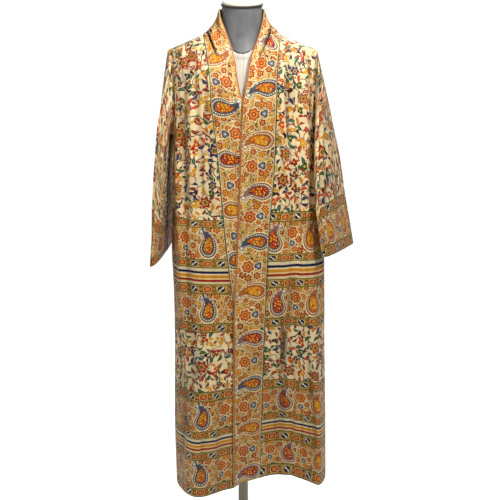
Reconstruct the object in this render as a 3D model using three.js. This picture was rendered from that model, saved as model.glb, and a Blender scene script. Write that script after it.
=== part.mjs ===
// A full-length kimono robe of printed silk, worn by a limbless dress form on a pole stand.
//
// Millimetres, +Z up.  The origin is the middle of the stand's underside.  The robe's front faces -Y, so
// +X is the wearer's left.  Every piece of the robe is a thin wall between a grid of outer points and the
// same points moved in by the cloth's thickness.  The front and back hang on one ring of cloth, which is
// wide and flat at the chest and breaks into deep waves at the hem, and they drape up from the chest to
// the shoulder ridge.  The wearer's left front lies over the right one.
import * as THREE from "three";

// ---- Driving sizes ---------------------------------------------------------------------------------
const CLOTH = 1.5; // single silk, with its turned hems
const BAND = 2.4; // the folded neck band
const SEAM = 0.3; // between two pieces at a seam
const OVERLAP = 4.6; // how far the upper front stands off the lower one

const CHEST_Z = 1280; // where the rings begin
const UNDERARM_Z = 1160; // the lowest point of the armholes
const RIDGE_Z = 1460; // the shoulder ridge beside the neck band
const TIP = { x: 202, z: 1418 }; // the shoulder tip, where the sleeve is set
const RIDGE_SEAM = { right: -106, left: 102 }; // where the neck band crosses the ridge
const HEM_Z = { right: 187, left: 202, back: 202 }; // the lower front hangs a little lower
const LOWER_BAND_HEM_Z = 206; // its band rises to this under the upper front

const SHOULDER_POWER = 0.86; // how square the cloth turns over the shoulder: 1 is an ellipse
const RING_POWER = 2 / 3; // how square the rings are in plan
const ARMHOLE = { front: 60, back: 68 }; // how far the armholes reach forward and back

// The robe's ring by height: its sides in x, its front and its back in y.
const RINGS = [
  { z: 1280, right: -190, left: 198, front: -128, back: 108 },
  { z: 1160, right: -192, left: 207, front: -130, back: 112 },
  { z: 1000, right: -195, left: 219, front: -127, back: 108 },
  { z: 880, right: -199, left: 227, front: -128, back: 116 },
  { z: 740, right: -195, left: 231, front: -128, back: 119 },
  { z: 600, right: -195, left: 233, front: -119, back: 122 },
  { z: 380, right: -198, left: 239, front: -104, back: 124 },
  { z: 190, right: -195, left: 242, front: -95, back: 126 },
];

// The neck bands by height, as x.  The lower band's seam and free edge, then the upper band's.
const BANDS = [
  { z: 1280, lowerSeam: -84, lowerEdge: 4, upperEdge: -1, upperSeam: 91 },
  { z: 1180, lowerSeam: -71, lowerEdge: 17, upperEdge: -5, upperSeam: 88 },
  { z: 1080, lowerSeam: -61, lowerEdge: 26, upperEdge: -8, upperSeam: 84 },
  { z: 960, lowerSeam: -51, lowerEdge: 35, upperEdge: -13, upperSeam: 74 },
  { z: 830, lowerSeam: -38, lowerEdge: 46, upperEdge: -18, upperSeam: 67 },
  { z: 740, lowerSeam: -27, lowerEdge: 53, upperEdge: -24, upperSeam: 64 },
  { z: 630, lowerSeam: -27, lowerEdge: 52, upperEdge: -25, upperSeam: 60 },
  { z: 400, lowerSeam: -28, lowerEdge: 46, upperEdge: -26, upperSeam: 54 },
  { z: 190, lowerSeam: -29, lowerEdge: 41, upperEdge: -27, upperSeam: 49 },
];

// Vertical folds: x at the chest and the hem, half width, and how far each stands out at the chest, the
// hips and the hem.  Negative folds are valleys.
const FRONT_FOLDS = [
  { x0: -128, x1: -141, wide: 50, chest: 0, hip: 10, hem: 88 },
  { x0: 106, x1: 95, wide: 52, chest: 0, hip: -12, hem: -60 },
  { x0: 196, x1: 224, wide: 22, chest: 0, hip: 9, hem: 72 },
  { x0: 148, x1: 141, wide: 11, chest: -5, hip: -8, hem: -9 },
];
const BACK_FOLDS = [
  { x0: -120, x1: -128, wide: 40, chest: 0, hip: 8, hem: 34 },
  { x0: -48, x1: -44, wide: 34, chest: 0, hip: -6, hem: -26 },
  { x0: 40, x1: 46, wide: 36, chest: 0, hip: 6, hem: 26 },
  { x0: 118, x1: 122, wide: 34, chest: 0, hip: -7, hem: -24 },
  { x0: 176, x1: 190, wide: 26, chest: 0, hip: 5, hem: 18 },
];
const HIP_Z = 800;
const FLARE_Z = 860; // where the folds begin to deepen towards the hem

// The free edges of the neck bands from the ridge to the chest, and the standing collar's top edge.
const LOWER_EDGE = [
  { at: 0, x: -65, y: 0, z: 1525 },
  { at: 0.2, x: -60, y: -26, z: 1508 },
  { at: 0.42, x: -39, y: -56, z: 1456 },
  { at: 0.62, x: -20, y: -84, z: 1398 },
  { at: 0.82, x: -10, y: -112, z: 1334 },
  { at: 1, x: 4, y: -127.5, z: 1280 },
];
const UPPER_EDGE = [
  { at: 0, x: 60, y: 0, z: 1525 },
  { at: 0.2, x: 57, y: -26, z: 1508 },
  { at: 0.42, x: 42, y: -57, z: 1456 },
  { at: 0.62, x: 21, y: -86, z: 1400 },
  { at: 0.82, x: 11, y: -115, z: 1338 },
  { at: 1, x: -1, y: -132, z: 1280 },
];
const NECK_BACK = { x: -2, seamY: 90, seamZ: 1446, topY: 66, topZ: 1531 };
const COLLAR_HOLLOW = 9; // how far the standing collar curves in towards the neck between its edges

// The hanging sleeves: each row is one ring from the armhole to the cuff.  x and z are its middle, thick
// and rise its short radius sideways and upwards, reach its long radius fore and aft, swing how far its
// front edge stands out, hook how far that edge curls back round the body, and drop how far it hangs
// below the middle.
const RIGHT_SLEEVE = [
  { at: 0, x: -195, z: 1288, thick: 4, rise: 130, reach: 62, swing: -5, hook: 0, drop: 0 },
  { at: 0.25, x: -206, z: 1192, thick: 8, rise: 108, reach: 112, swing: 5, hook: 0, drop: 0 },
  { at: 0.5, x: -212, z: 1085, thick: 11, rise: 70, reach: 130, swing: 10, hook: 0, drop: 0 },
  { at: 0.75, x: -218, z: 972, thick: 13, rise: 33, reach: 137, swing: 13, hook: 0, drop: 2 },
  { at: 1, x: -226, z: 855, thick: 14, rise: -2, reach: 141, swing: 16, hook: 0, drop: 8 },
];
const LEFT_SLEEVE = [
  { at: 0, x: 199, z: 1288, thick: 4, rise: 130, reach: 62, swing: -5, hook: 0, drop: 0 },
  { at: 0.25, x: 220, z: 1192, thick: 7, rise: 108, reach: 112, swing: -18, hook: 16, drop: 0 },
  { at: 0.5, x: 234, z: 1085, thick: 11, rise: 70, reach: 126, swing: -34, hook: 12, drop: 0 },
  { at: 0.75, x: 248, z: 972, thick: 12, rise: 33, reach: 128, swing: -42, hook: 8, drop: 0 },
  { at: 1, x: 266, z: 864, thick: 14, rise: 0, reach: 130, swing: -50, hook: 4, drop: -6 },
];
const SLEEVE_POWER = 0.74; // how square a sleeve's ring is
const SLEEVE_STEP = 6; // how far the sleeve steps off the armhole before it hangs

// The dress form by height: half width, front and back in y, how far each ring tips up towards the back
// (lean, as a slope) and towards its sides (lift), and how round it is (1 is an ellipse).
const TORSO = [
  { z: 790, wide: 158, front: -94, back: 98, lean: 0, lift: 0, round: 0.88 },
  { z: 868, wide: 168, front: -102, back: 102, lean: 0, lift: 0, round: 0.88 },
  { z: 970, wide: 150, front: -95, back: 93, lean: 0, lift: 0, round: 0.9 },
  { z: 1070, wide: 132, front: -90, back: 86, lean: 0, lift: 0, round: 0.92 },
  { z: 1160, wide: 147, front: -100, back: 90, lean: 0, lift: 0, round: 0.9 },
  { z: 1245, wide: 161, front: -112, back: 93, lean: 0, lift: 0, round: 0.88 },
  { z: 1310, wide: 168, front: -104, back: 92, lean: 0.02, lift: 0, round: 0.88 },
  { z: 1355, wide: 176, front: -88, back: 86, lean: 0.05, lift: 0, round: 0.88 },
  { z: 1385, wide: 183, front: -74, back: 74, lean: 0.1, lift: 8, round: 0.9 },
  { z: 1400, wide: 171, front: -67, back: 67, lean: 0.15, lift: 14, round: 0.92 },
  { z: 1408, wide: 140, front: -65, back: 62, lean: 0.2, lift: 24, round: 0.94 },
  { z: 1415, wide: 105, front: -65, back: 59, lean: 0.24, lift: 32, round: 0.96 },
  { z: 1419, wide: 77, front: -63, back: 57, lean: 0.23, lift: 38, round: 0.98 },
  { z: 1421, wide: 58, front: -61, back: 56, lean: 0.2, lift: 40, round: 1 },
];
const NECK = [
  { z: 1421 + SEAM, wide: 58, front: -61, back: 56, lean: 0.2, lift: 40, round: 1 },
  { z: 1442, wide: 55, front: -57, back: 54, lean: 0.19, lift: 26, round: 1 },
  { z: 1470, wide: 53.5, front: -54, back: 53.5, lean: 0.18, lift: 8, round: 1 },
  { z: 1505, wide: 53.5, front: -53.5, back: 53.5, lean: 0.17, lift: 0, round: 1 },
  { z: 1533, wide: 54, front: -54, back: 54, lean: 0.15, lift: 0, round: 1 },
  { z: 1539, wide: 55.5, front: -55.5, back: 55.5, lean: 0.15, lift: 0, round: 1 },
];
const NECK_CAP = [
  { z: 1539 + SEAM, wide: 52.5, front: -52.5, back: 52.5, lean: 0.15, lift: 0, round: 1 },
  { z: 1545, wide: 52.5, front: -52.5, back: 52.5, lean: 0.15, lift: 0, round: 1 },
  { z: 1550, wide: 46, front: -46, back: 46, lean: 0.15, lift: 0, round: 1 },
  { z: 1553, wide: 26, front: -26, back: 26, lean: 0.15, lift: 0, round: 1 },
];
const NECK_X = -1.5; // the form's middle, a little towards the wearer's right
const POLE = { radius: 14, bottom: 24 + SEAM, top: 790 - SEAM };
const BASE = { radius: 185, edge: 7, hub: 22, top: 24 };

// How finely each piece is cut.
const SHOULDER_ROWS = 7;
const ARMHOLE_ROWS = 3;
const SKIRT_ROWS = 17;
const FRONT_COLUMNS = 13;
const BACK_COLUMNS = 30;
const BAND_COLUMNS = 4;
const COLLAR_COLUMNS = 16;
const SLEEVE_STEPS = [0, 0.025, 0.07, 0.13, 0.2, 0.28, 0.37, 0.47, 0.58, 0.7, 0.82, 0.92, 1];
const FORM_SIDES = 32;

// ---- Interpolation ---------------------------------------------------------------------------------
const lerp = (a, b, t) => a + (b - a) * t;
const smooth = (a, b, t) => THREE.MathUtils.smoothstep((t - a) / (b - a), 0, 1);
const powered = (value, power) => Math.sign(value) * Math.abs(value) ** power;

// A smooth curve through one column of a table, whose key column rises or falls all the way.
function column(table, key, name, at) {
  const rising = table[1][key] > table[0][key];
  let i = 0;
  while (i < table.length - 2 && (rising ? at > table[i + 1][key] : at < table[i + 1][key])) i++;
  const [a, b] = [table[i], table[i + 1]];
  const before = table[i - 1] ?? a;
  const after = table[i + 2] ?? b;
  const t = THREE.MathUtils.clamp((at - a[key]) / (b[key] - a[key]), 0, 1);
  const slopeA = i > 0 ? (b[name] - before[name]) / (b[key] - before[key]) : (b[name] - a[name]) / (b[key] - a[key]);
  const slopeB = table[i + 2] ? (after[name] - a[name]) / (after[key] - a[key]) : (b[name] - a[name]) / (b[key] - a[key]);
  const span = b[key] - a[key];
  const [t2, t3] = [t * t, t * t * t];
  return (2 * t3 - 3 * t2 + 1) * a[name] + (t3 - 2 * t2 + t) * span * slopeA
    + (3 * t2 - 2 * t3) * b[name] + (t3 - t2) * span * slopeB;
}

// ---- The robe's ring of cloth ----------------------------------------------------------------------
function ringAt(z) {
  const right = column(RINGS, "z", "right", z);
  const left = column(RINGS, "z", "left", z);
  return {
    middle: (right + left) / 2,
    half: (left - right) / 2,
    front: column(RINGS, "z", "front", z),
    back: column(RINGS, "z", "back", z),
  };
}

// How far the vertical folds push the cloth out at (x, z).
function foldDepth(folds, x, z) {
  const down = (CHEST_Z - z) / (CHEST_Z - HEM_Z.right);
  const growth = smooth(FLARE_Z, HEM_Z.right, z);
  return folds.reduce((sum, fold) => {
    const middle = lerp(fold.x0, fold.x1, down);
    const high = lerp(fold.chest, fold.hip, smooth(CHEST_Z, HIP_Z, z));
    const depth = lerp(high, fold.hem, growth);
    return sum + depth * Math.exp(-0.5 * ((x - middle) / fold.wide) ** 2);
  }, 0);
}

// The angle round the ring, from 0 at the right side to pi at the left side, of a place given by x or y.
function angleOfX(z, x) {
  const ring = ringAt(z);
  return Math.acos(THREE.MathUtils.clamp(powered((ring.middle - x) / ring.half, 1 / RING_POWER), -1, 1));
}
function angleOfDepth(z, depth, side) {
  const ring = ringAt(z);
  return Math.asin(Math.min(1, (depth / Math.abs(ring[side])) ** (1 / RING_POWER)));
}

// How far the upper front stands off the lower one at (x, z).  It closes up towards the side seam.
function overlapAt(x, z) {
  const seam = column(BANDS, "z", "upperSeam", Math.min(z, CHEST_Z));
  return OVERLAP * (1 - smooth(seam + 15, seam + 85, x));
}

// A point of the ring at height z.  side is "front" or "back", and upper marks the upper front.
function ringPoint(z, angle, side, upper = false) {
  const ring = ringAt(z);
  const x = ring.middle - ring.half * powered(Math.cos(angle), RING_POWER);
  const share = Math.abs(Math.sin(angle)) ** RING_POWER;
  const folds = side === "front" ? FRONT_FOLDS : BACK_FOLDS;
  const out = foldDepth(folds, x, z) + (upper ? overlapAt(x, z) : 0);
  return new THREE.Vector3(x, share * (ring[side] + (side === "front" ? -out : out)), z);
}

// ---- Rows from the shoulder ridge to the hem -------------------------------------------------------
// A row has turn, from 0 on the ridge to 1 at the chest, z, and down, from 0 at the underarm to 1 at the
// hem.  heightIn gives its height at a place where the hem is at hemZ.
function rows() {
  const list = [];
  for (let i = 0; i < SHOULDER_ROWS; i++) list.push({ turn: i / SHOULDER_ROWS, z: CHEST_Z, down: 0 });
  for (let i = 0; i < ARMHOLE_ROWS; i++) {
    list.push({ turn: 1, z: lerp(CHEST_Z, UNDERARM_Z, i / ARMHOLE_ROWS), down: 0 });
  }
  for (let i = 0; i <= SKIRT_ROWS; i++) list.push({ turn: 1, z: UNDERARM_Z, down: i / SKIRT_ROWS });
  return list;
}
const heightIn = (row, hemZ) => lerp(row.z, hemZ, row.down);

// How far the armhole's edge reaches forward or back of the side seam at height z.
function armholeDepth(z, side) {
  if (z <= UNDERARM_Z) return 0;
  return ARMHOLE[side] * Math.sin((Math.PI / 2) * Math.min(1, (z - UNDERARM_Z) / (CHEST_Z - UNDERARM_Z)));
}

// Cloth that turns over the shoulder, from a point on its top edge to a point on the chest ring.
function drape(top, chest, turn) {
  const across = Math.sin((Math.PI / 2) * turn) ** SHOULDER_POWER;
  const up = Math.cos((Math.PI / 2) * turn) ** SHOULDER_POWER;
  return new THREE.Vector3(
    lerp(top.x, chest.x, smooth(0, 1, turn)),
    lerp(top.y, chest.y, across),
    lerp(chest.z, top.z, up),
  );
}

const ridgeHeight = (x) => lerp(RIDGE_Z, TIP.z, (Math.abs(x) - 104) / (TIP.x - 104));

// One front, as a grid of points from its side seam to its band seam, in the order right to left.
function frontGrid(side) {
  const isLeft = side === "left";
  const tipX = isLeft ? TIP.x : -TIP.x;
  return rows().map((row) => {
    const { turn } = row;
    const line = [];
    for (let j = 0; j <= FRONT_COLUMNS; j++) {
      const t = j / FRONT_COLUMNS;
      const z = heightIn(row, HEM_Z[side]);
      const edge = angleOfDepth(z, armholeDepth(z, "front"), "front");
      const outer = isLeft ? Math.PI - edge : edge;
      const inner = angleOfX(z, column(BANDS, "z", isLeft ? "upperSeam" : "lowerSeam", z));
      const chest = ringPoint(z, lerp(outer, inner, t), "front", isLeft);
      if (turn === 1) {
        line.push(chest);
        continue;
      }
      const x = lerp(tipX, RIDGE_SEAM[side], t);
      line.push(drape(new THREE.Vector3(x, 0, ridgeHeight(x)), chest, turn));
    }
    return isLeft ? line.reverse() : line;
  });
}

// The back's top edge at x: the shoulder ridge, or the curve round the back of the neck.
function backTop(x) {
  const [from, to] = [RIDGE_SEAM.right, RIDGE_SEAM.left];
  if (x <= from || x >= to) return new THREE.Vector3(x, 0, ridgeHeight(x));
  const round = Math.PI * ((x - from) / (to - from));
  const share = Math.sin(round) ** 0.62;
  return new THREE.Vector3(x, NECK_BACK.seamY * share, lerp(ridgeHeight(from), NECK_BACK.seamZ, share));
}

// The back, as a grid of points from its left side to its right side.
function backGrid() {
  const tops = [];
  const neckColumns = BACK_COLUMNS / 2;
  const shoulderColumns = BACK_COLUMNS / 4 | 0;
  const ends = [-TIP.x, RIDGE_SEAM.right, RIDGE_SEAM.left, TIP.x];
  const counts = [shoulderColumns, neckColumns, shoulderColumns];
  counts.forEach((count, k) => {
    for (let j = 0; j < count; j++) {
      const t = k === 1 ? (1 - Math.cos((Math.PI * j) / count)) / 2 : j / count;
      tops.push(backTop(lerp(ends[k], ends[k + 1], t)));
    }
  });
  tops.push(backTop(TIP.x));
  return rows().map((row) => {
    const { turn } = row;
    const z = heightIn(row, HEM_Z.back);
    const edge = angleOfDepth(z, armholeDepth(z, "back"), "back");
    const line = tops.map((top, j) => {
      const t = j / (tops.length - 1);
      const chest = ringPoint(z, lerp(edge, Math.PI - edge, t), "back");
      return turn === 1 ? chest : drape(top, chest, turn);
    });
    return line.reverse();
  });
}

// A point between the two edges of the collar, which curves in towards the neck.
function hollowed(from, to, t, share) {
  const point = from.clone().lerp(to, t);
  const inwards = new THREE.Vector3(NECK_BACK.x - point.x, -point.y, 0).normalize();
  return point.addScaledVector(inwards, COLLAR_HOLLOW * share * Math.sin(Math.PI * t));
}

// A neck band, from the ridge to the hem.  It starts on the front's own edge.
function bandGrid(side, front) {
  const isLeft = side === "left";
  const edges = isLeft ? UPPER_EDGE : LOWER_EDGE;
  return rows().map((row, i) => {
    const { turn } = row;
    const seam = isLeft ? front[i][0] : front[i][FRONT_COLUMNS];
    const line = [];
    for (let j = 0; j <= BAND_COLUMNS; j++) {
      const t = j / BAND_COLUMNS;
      if (turn === 1) {
        const z = heightIn(row, isLeft ? HEM_Z.left : lerp(HEM_Z.right, LOWER_BAND_HEM_Z, smooth(0, 0.5, t)));
        const x = lerp(seam.x, column(BANDS, "z", isLeft ? "upperEdge" : "lowerEdge", z), t);
        line.push(j === 0 ? seam.clone() : ringPoint(z, angleOfX(z, x), "front", isLeft));
        continue;
      }
      const edge = new THREE.Vector3(...["x", "y", "z"].map((axis) => column(edges, "at", axis, turn)));
      line.push(hollowed(seam, edge, t, 1 - turn));
    }
    return isLeft ? line.reverse() : line;
  });
}

// The standing collar round the back of the neck, from its top edge down to its seam.
function collarGrid() {
  const list = [];
  const start = { right: LOWER_EDGE[0], left: UPPER_EDGE[0] };
  const rowCount = BAND_COLUMNS;
  for (let i = 0; i <= rowCount; i++) {
    const line = [];
    for (let j = 0; j <= COLLAR_COLUMNS; j++) {
      const round = Math.PI * (j / COLLAR_COLUMNS);
      const share = Math.sin(round);
      const seam = backTop(lerp(RIDGE_SEAM.left, RIDGE_SEAM.right, (1 - Math.cos(round)) / 2));
      const side = Math.cos(round) > 0 ? start.left.x - NECK_BACK.x : NECK_BACK.x - start.right.x;
      const top = new THREE.Vector3(
        NECK_BACK.x + side * powered(Math.cos(round), 0.9),
        NECK_BACK.topY * share ** 0.8,
        lerp(start.left.z, NECK_BACK.topZ, share),
      );
      line.push(hollowed(top, seam, i / rowCount, 1));
    }
    list.push(line);
  }
  return list;
}

// ---- Walls -----------------------------------------------------------------------------------------
// Unit normals of a grid, which point out when its rows run down and its columns run anticlockwise.
function gridNormals(grid, closed) {
  const across = grid[0].length;
  const pick = (i, j) => {
    const row = grid[THREE.MathUtils.clamp(i, 0, grid.length - 1)];
    return closed ? row[(j + across) % across] : row[THREE.MathUtils.clamp(j, 0, across - 1)];
  };
  return grid.map((line, i) => line.map((_, j) => {
    const down = pick(i + 1, j).clone().sub(pick(i - 1, j));
    const along = pick(i, j + 1).clone().sub(pick(i, j - 1));
    return down.cross(along).normalize();
  }));
}

// A closed wall between a grid and the same grid moved in by thick.
function wall(grid, normals, thick, closed = false) {
  const [down, across] = [grid.length, grid[0].length];
  const points = [];
  for (const depth of [0, thick]) {
    grid.forEach((line, i) => line.forEach((point, j) => {
      points.push(point.clone().addScaledVector(normals[i][j], -depth));
    }));
  }
  const outer = (i, j) => i * across + (j % across);
  const inner = (i, j) => down * across + outer(i, j);
  const faces = [];
  const quad = (a, b, c, d) => faces.push(a, b, c, a, c, d);
  const columns = closed ? across : across - 1;
  for (let j = 0; j < columns; j++) {
    for (let i = 0; i < down - 1; i++) {
      quad(outer(i, j), outer(i + 1, j), outer(i + 1, j + 1), outer(i, j + 1));
      quad(inner(i, j), inner(i, j + 1), inner(i + 1, j + 1), inner(i + 1, j));
    }
    quad(outer(0, j), outer(0, j + 1), inner(0, j + 1), inner(0, j));
    quad(outer(down - 1, j), inner(down - 1, j), inner(down - 1, j + 1), outer(down - 1, j + 1));
  }
  if (!closed) {
    for (let i = 0; i < down - 1; i++) {
      quad(outer(i, 0), inner(i, 0), inner(i + 1, 0), outer(i + 1, 0));
      quad(outer(i, across - 1), outer(i + 1, across - 1), inner(i + 1, across - 1), inner(i, across - 1));
    }
  }
  return meshGeometry(points, faces);
}

function meshGeometry(points, faces) {
  const geometry = new THREE.BufferGeometry();
  geometry.setAttribute("position", new THREE.Float32BufferAttribute(points.flatMap((p) => p.toArray()), 3));
  geometry.setIndex(faces);
  geometry.computeVertexNormals();
  return geometry;
}

// Takes the y out of the normals where a grid meets the plane y = 0, and draws its points off that plane,
// so that the front and the back stay apart along the ridge and the side seams.
function partAtSides(grid, normals, towards) {
  grid.forEach((line, i) => line.forEach((point, j) => {
    if (Math.abs(point.y) > SEAM) return;
    point.y = (towards * SEAM) / 2;
    normals[i][j].setY(0).normalize();
  }));
}

// Draws one side column of a grid back along the cloth, so that a seam stays open by half its gap.
function openSeam(grid, edge, next) {
  grid.forEach((line) => {
    const back = line[next].clone().sub(line[edge]).normalize();
    line[edge].addScaledVector(back, SEAM / 2);
  });
}

// ---- The form --------------------------------------------------------------------------------------
// A closed solid through rings, with a flat or tipped face at each end.
function loft(table, sides) {
  const points = [];
  const faces = [];
  table.forEach((ring) => {
    for (let j = 0; j < sides; j++) {
      const angle = (2 * Math.PI * j) / sides;
      const [c, s] = [powered(Math.cos(angle), ring.round), powered(Math.sin(angle), ring.round)];
      const y = s < 0 ? -s * ring.front : s * ring.back;
      points.push(new THREE.Vector3(NECK_X + ring.wide * c, y, ring.z + ring.lean * y + ring.lift * c * c));
    }
  });
  const at = (i, j) => i * sides + (j % sides);
  for (let i = 0; i < table.length - 1; i++) {
    for (let j = 0; j < sides; j++) {
      faces.push(at(i, j), at(i, j + 1), at(i + 1, j + 1), at(i, j), at(i + 1, j + 1), at(i + 1, j));
    }
  }
  for (const [ring, order] of [[0, -1], [table.length - 1, 1]]) {
    const middle = points.length;
    const { z, front, back, lean } = table[ring];
    const y = (front + back) / 2;
    points.push(new THREE.Vector3(NECK_X, y, z + lean * y + table[ring].lift / 3));
    for (let j = 0; j < sides; j++) {
      faces.push(...(order > 0 ? [middle, at(ring, j), at(ring, j + 1)] : [middle, at(ring, j + 1), at(ring, j)]));
    }
  }
  return meshGeometry(points, faces);
}

function pole() {
  const rod = new THREE.CylinderGeometry(POLE.radius, POLE.radius, POLE.top - POLE.bottom, 24, 1);
  rod.rotateX(Math.PI / 2);
  rod.translate(0, 0, (POLE.top + POLE.bottom) / 2);
  return rod;
}

function base() {
  const profile = [
    [0, 0],
    [BASE.radius, 0],
    [BASE.radius, BASE.edge],
    [BASE.radius - 5, BASE.edge + 4],
    [BASE.hub * 2, BASE.top - 9],
    [BASE.hub, BASE.top],
    [0, BASE.top],
  ].map(([x, y]) => new THREE.Vector2(x, y));
  const disc = new THREE.LatheGeometry(profile, 48);
  disc.rotateX(Math.PI / 2);
  return disc;
}

// ---- Sleeves ---------------------------------------------------------------------------------------
// The armhole as a loop, anticlockwise from above, from the grid edges of a front and the back.  Each
// place has the cloth's normal there, and away, the way off the panel's edge.
function armholeLoop(side, front, back, frontNormals, backNormals) {
  const last = SHOULDER_ROWS + ARMHOLE_ROWS;
  const isLeft = side === "left";
  const place = (grid, normals, i, atStart) => {
    const [edge, next] = atStart ? [0, 1] : [grid[0].length - 1, grid[0].length - 2];
    const away = i === last ? new THREE.Vector3(0, 0, 1) : grid[i][edge].clone().sub(grid[i][next]).normalize();
    return { point: grid[i][edge].clone(), normal: normals[i][edge].clone(), away };
  };
  const loop = [];
  for (let i = 0; i <= last; i++) loop.push(place(front, frontNormals, i, !isLeft));
  for (let i = last - 1; i > 0; i--) loop.push(place(back, backNormals, i, isLeft));
  for (const end of [loop[0], loop[last]]) end.point.setY(0);
  return isLeft ? loop.reverse() : loop;
}

function sleeveRing(table, at, angle, out) {
  const value = (name) => column(table, "at", name, at);
  const [c, s] = [powered(Math.cos(angle), SLEEVE_POWER), powered(Math.sin(angle), SLEEVE_POWER)];
  const step = SLEEVE_STEP * smooth(0, 0.03, at) * (1 - Math.max(0, c));
  return new THREE.Vector3(
    value("x") + out * (value("thick") * c + value("swing") * s + step - value("hook") * Math.max(0, s) ** 3),
    -value("reach") * s,
    value("z") + value("rise") * c - value("drop") * s,
  );
}

// A sleeve's grid: rings that leave the armhole and turn down into a flat hanging tube.
function sleeveGrid(side, loop) {
  const isLeft = side === "left";
  const table = isLeft ? LEFT_SLEEVE : RIGHT_SLEEVE;
  const out = isLeft ? 1 : -1;
  const centre = loop.reduce((sum, { point }) => sum.add(point), new THREE.Vector3()).divideScalar(loop.length);
  const { rise, reach } = table[0];
  const starts = loop.map(({ point, away }) => {
    const start = point.clone().addScaledVector(away, SEAM * 1.5);
    const angle = Math.atan2(-(point.y - centre.y) / reach, (point.z - centre.z) / rise);
    return { angle, offset: start.sub(sleeveRing(table, 0, angle, out)) };
  });
  return SLEEVE_STEPS.map((at) => starts.map(({ angle, offset }) => {
    const point = sleeveRing(table, at, angle, out);
    return point.addScaledVector(offset, 1 - smooth(0, 0.3, at));
  }));
}

// ---- The pieces ------------------------------------------------------------------------------------
const silk = (color) => new THREE.MeshStandardMaterial({ color, roughness: 0.5, metalness: 0 });
const FINISH = {
  panel: silk(0xd8b98a),
  sleeve: silk(0xcf9a6a),
  band: silk(0xc98a55),
  linen: new THREE.MeshStandardMaterial({ color: 0xe6d8bf, roughness: 0.85, metalness: 0 }),
  greyCloth: new THREE.MeshStandardMaterial({ color: 0x8a8c90, roughness: 0.6, metalness: 0.1 }),
  paint: new THREE.MeshStandardMaterial({ color: 0xb8ad9c, roughness: 0.45, metalness: 0.4 }),
};

function robe() {
  const grids = { right: frontGrid("right"), left: frontGrid("left"), back: backGrid() };
  const bands = { right: bandGrid("right", grids.right), left: bandGrid("left", grids.left) };
  const collar = collarGrid();
  const normals = {};
  for (const [name, grid] of Object.entries(grids)) normals[name] = gridNormals(grid, false);
  const bandNormals = { right: gridNormals(bands.right, false), left: gridNormals(bands.left, false) };
  const collarNormals = gridNormals(collar, false);

  // A band and its front share the normals along their seam.
  grids.right.forEach((_, i) => {
    const joint = normals.right[i][FRONT_COLUMNS].clone().add(bandNormals.right[i][0]).normalize();
    normals.right[i][FRONT_COLUMNS] = joint.clone();
    bandNormals.right[i][0] = joint;
    const upper = normals.left[i][0].clone().add(bandNormals.left[i][BAND_COLUMNS]).normalize();
    normals.left[i][0] = upper.clone();
    bandNormals.left[i][BAND_COLUMNS] = upper;
  });
  openSeam(grids.right, FRONT_COLUMNS, FRONT_COLUMNS - 1);
  openSeam(grids.left, 0, 1);
  openSeam(bands.right, 0, 1);
  openSeam(bands.left, BAND_COLUMNS, BAND_COLUMNS - 1);
  const seamRow = collar[collar.length - 1];
  seamRow.forEach((point, j) => point.addScaledVector(collar[collar.length - 2][j].clone().sub(point).normalize(), SEAM * 2));

  for (const side of ["right", "left"]) {
    partAtSides(grids[side], normals[side], -1);
    partAtSides(bands[side], bandNormals[side], -1);
  }
  partAtSides(grids.back, normals.back, 1);
  partAtSides(collar, collarNormals, 1);

  const pieces = [
    ["back", FINISH.panel, wall(grids.back, normals.back, CLOTH)],
    ["front_right", FINISH.panel, wall(grids.right, normals.right, CLOTH)],
    ["front_left", FINISH.panel, wall(grids.left, normals.left, CLOTH)],
    ["band_right", FINISH.band, wall(bands.right, bandNormals.right, BAND)],
    ["band_left", FINISH.band, wall(bands.left, bandNormals.left, BAND)],
    ["collar_back", FINISH.band, wall(collar, collarNormals, BAND)],
  ];
  for (const side of ["right", "left"]) {
    const loop = armholeLoop(side, grids[side], grids.back, normals[side], normals.back);
    const grid = sleeveGrid(side, loop);
    const sleeveNormals = gridNormals(grid, true);
    loop.forEach(({ normal, away }, j) => {
      const joint = sleeveNormals[0][j].add(normal).normalize();
      joint.addScaledVector(away, -Math.max(0, joint.dot(away))).normalize();
    });
    pieces.push([`sleeve_${side}`, FINISH.sleeve, wall(grid, sleeveNormals, CLOTH, true)]);
  }
  return pieces;
}

const group = new THREE.Group();
group.name = "kimono_robe_on_dress_form";
const pieces = [
  ...robe(),
  ["form_torso", FINISH.linen, loft(TORSO, FORM_SIDES)],
  ["form_neck", FINISH.greyCloth, loft(NECK, FORM_SIDES)],
  ["form_neck_cap", FINISH.linen, loft(NECK_CAP, FORM_SIDES)],
  ["form_pole", FINISH.paint, pole()],
  ["form_base", FINISH.paint, base()],
];
for (const [name, material, geometry] of pieces) {
  const mesh = new THREE.Mesh(geometry, material);
  mesh.name = name;
  group.add(mesh);
}

export default group;
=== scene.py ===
import math

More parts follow.
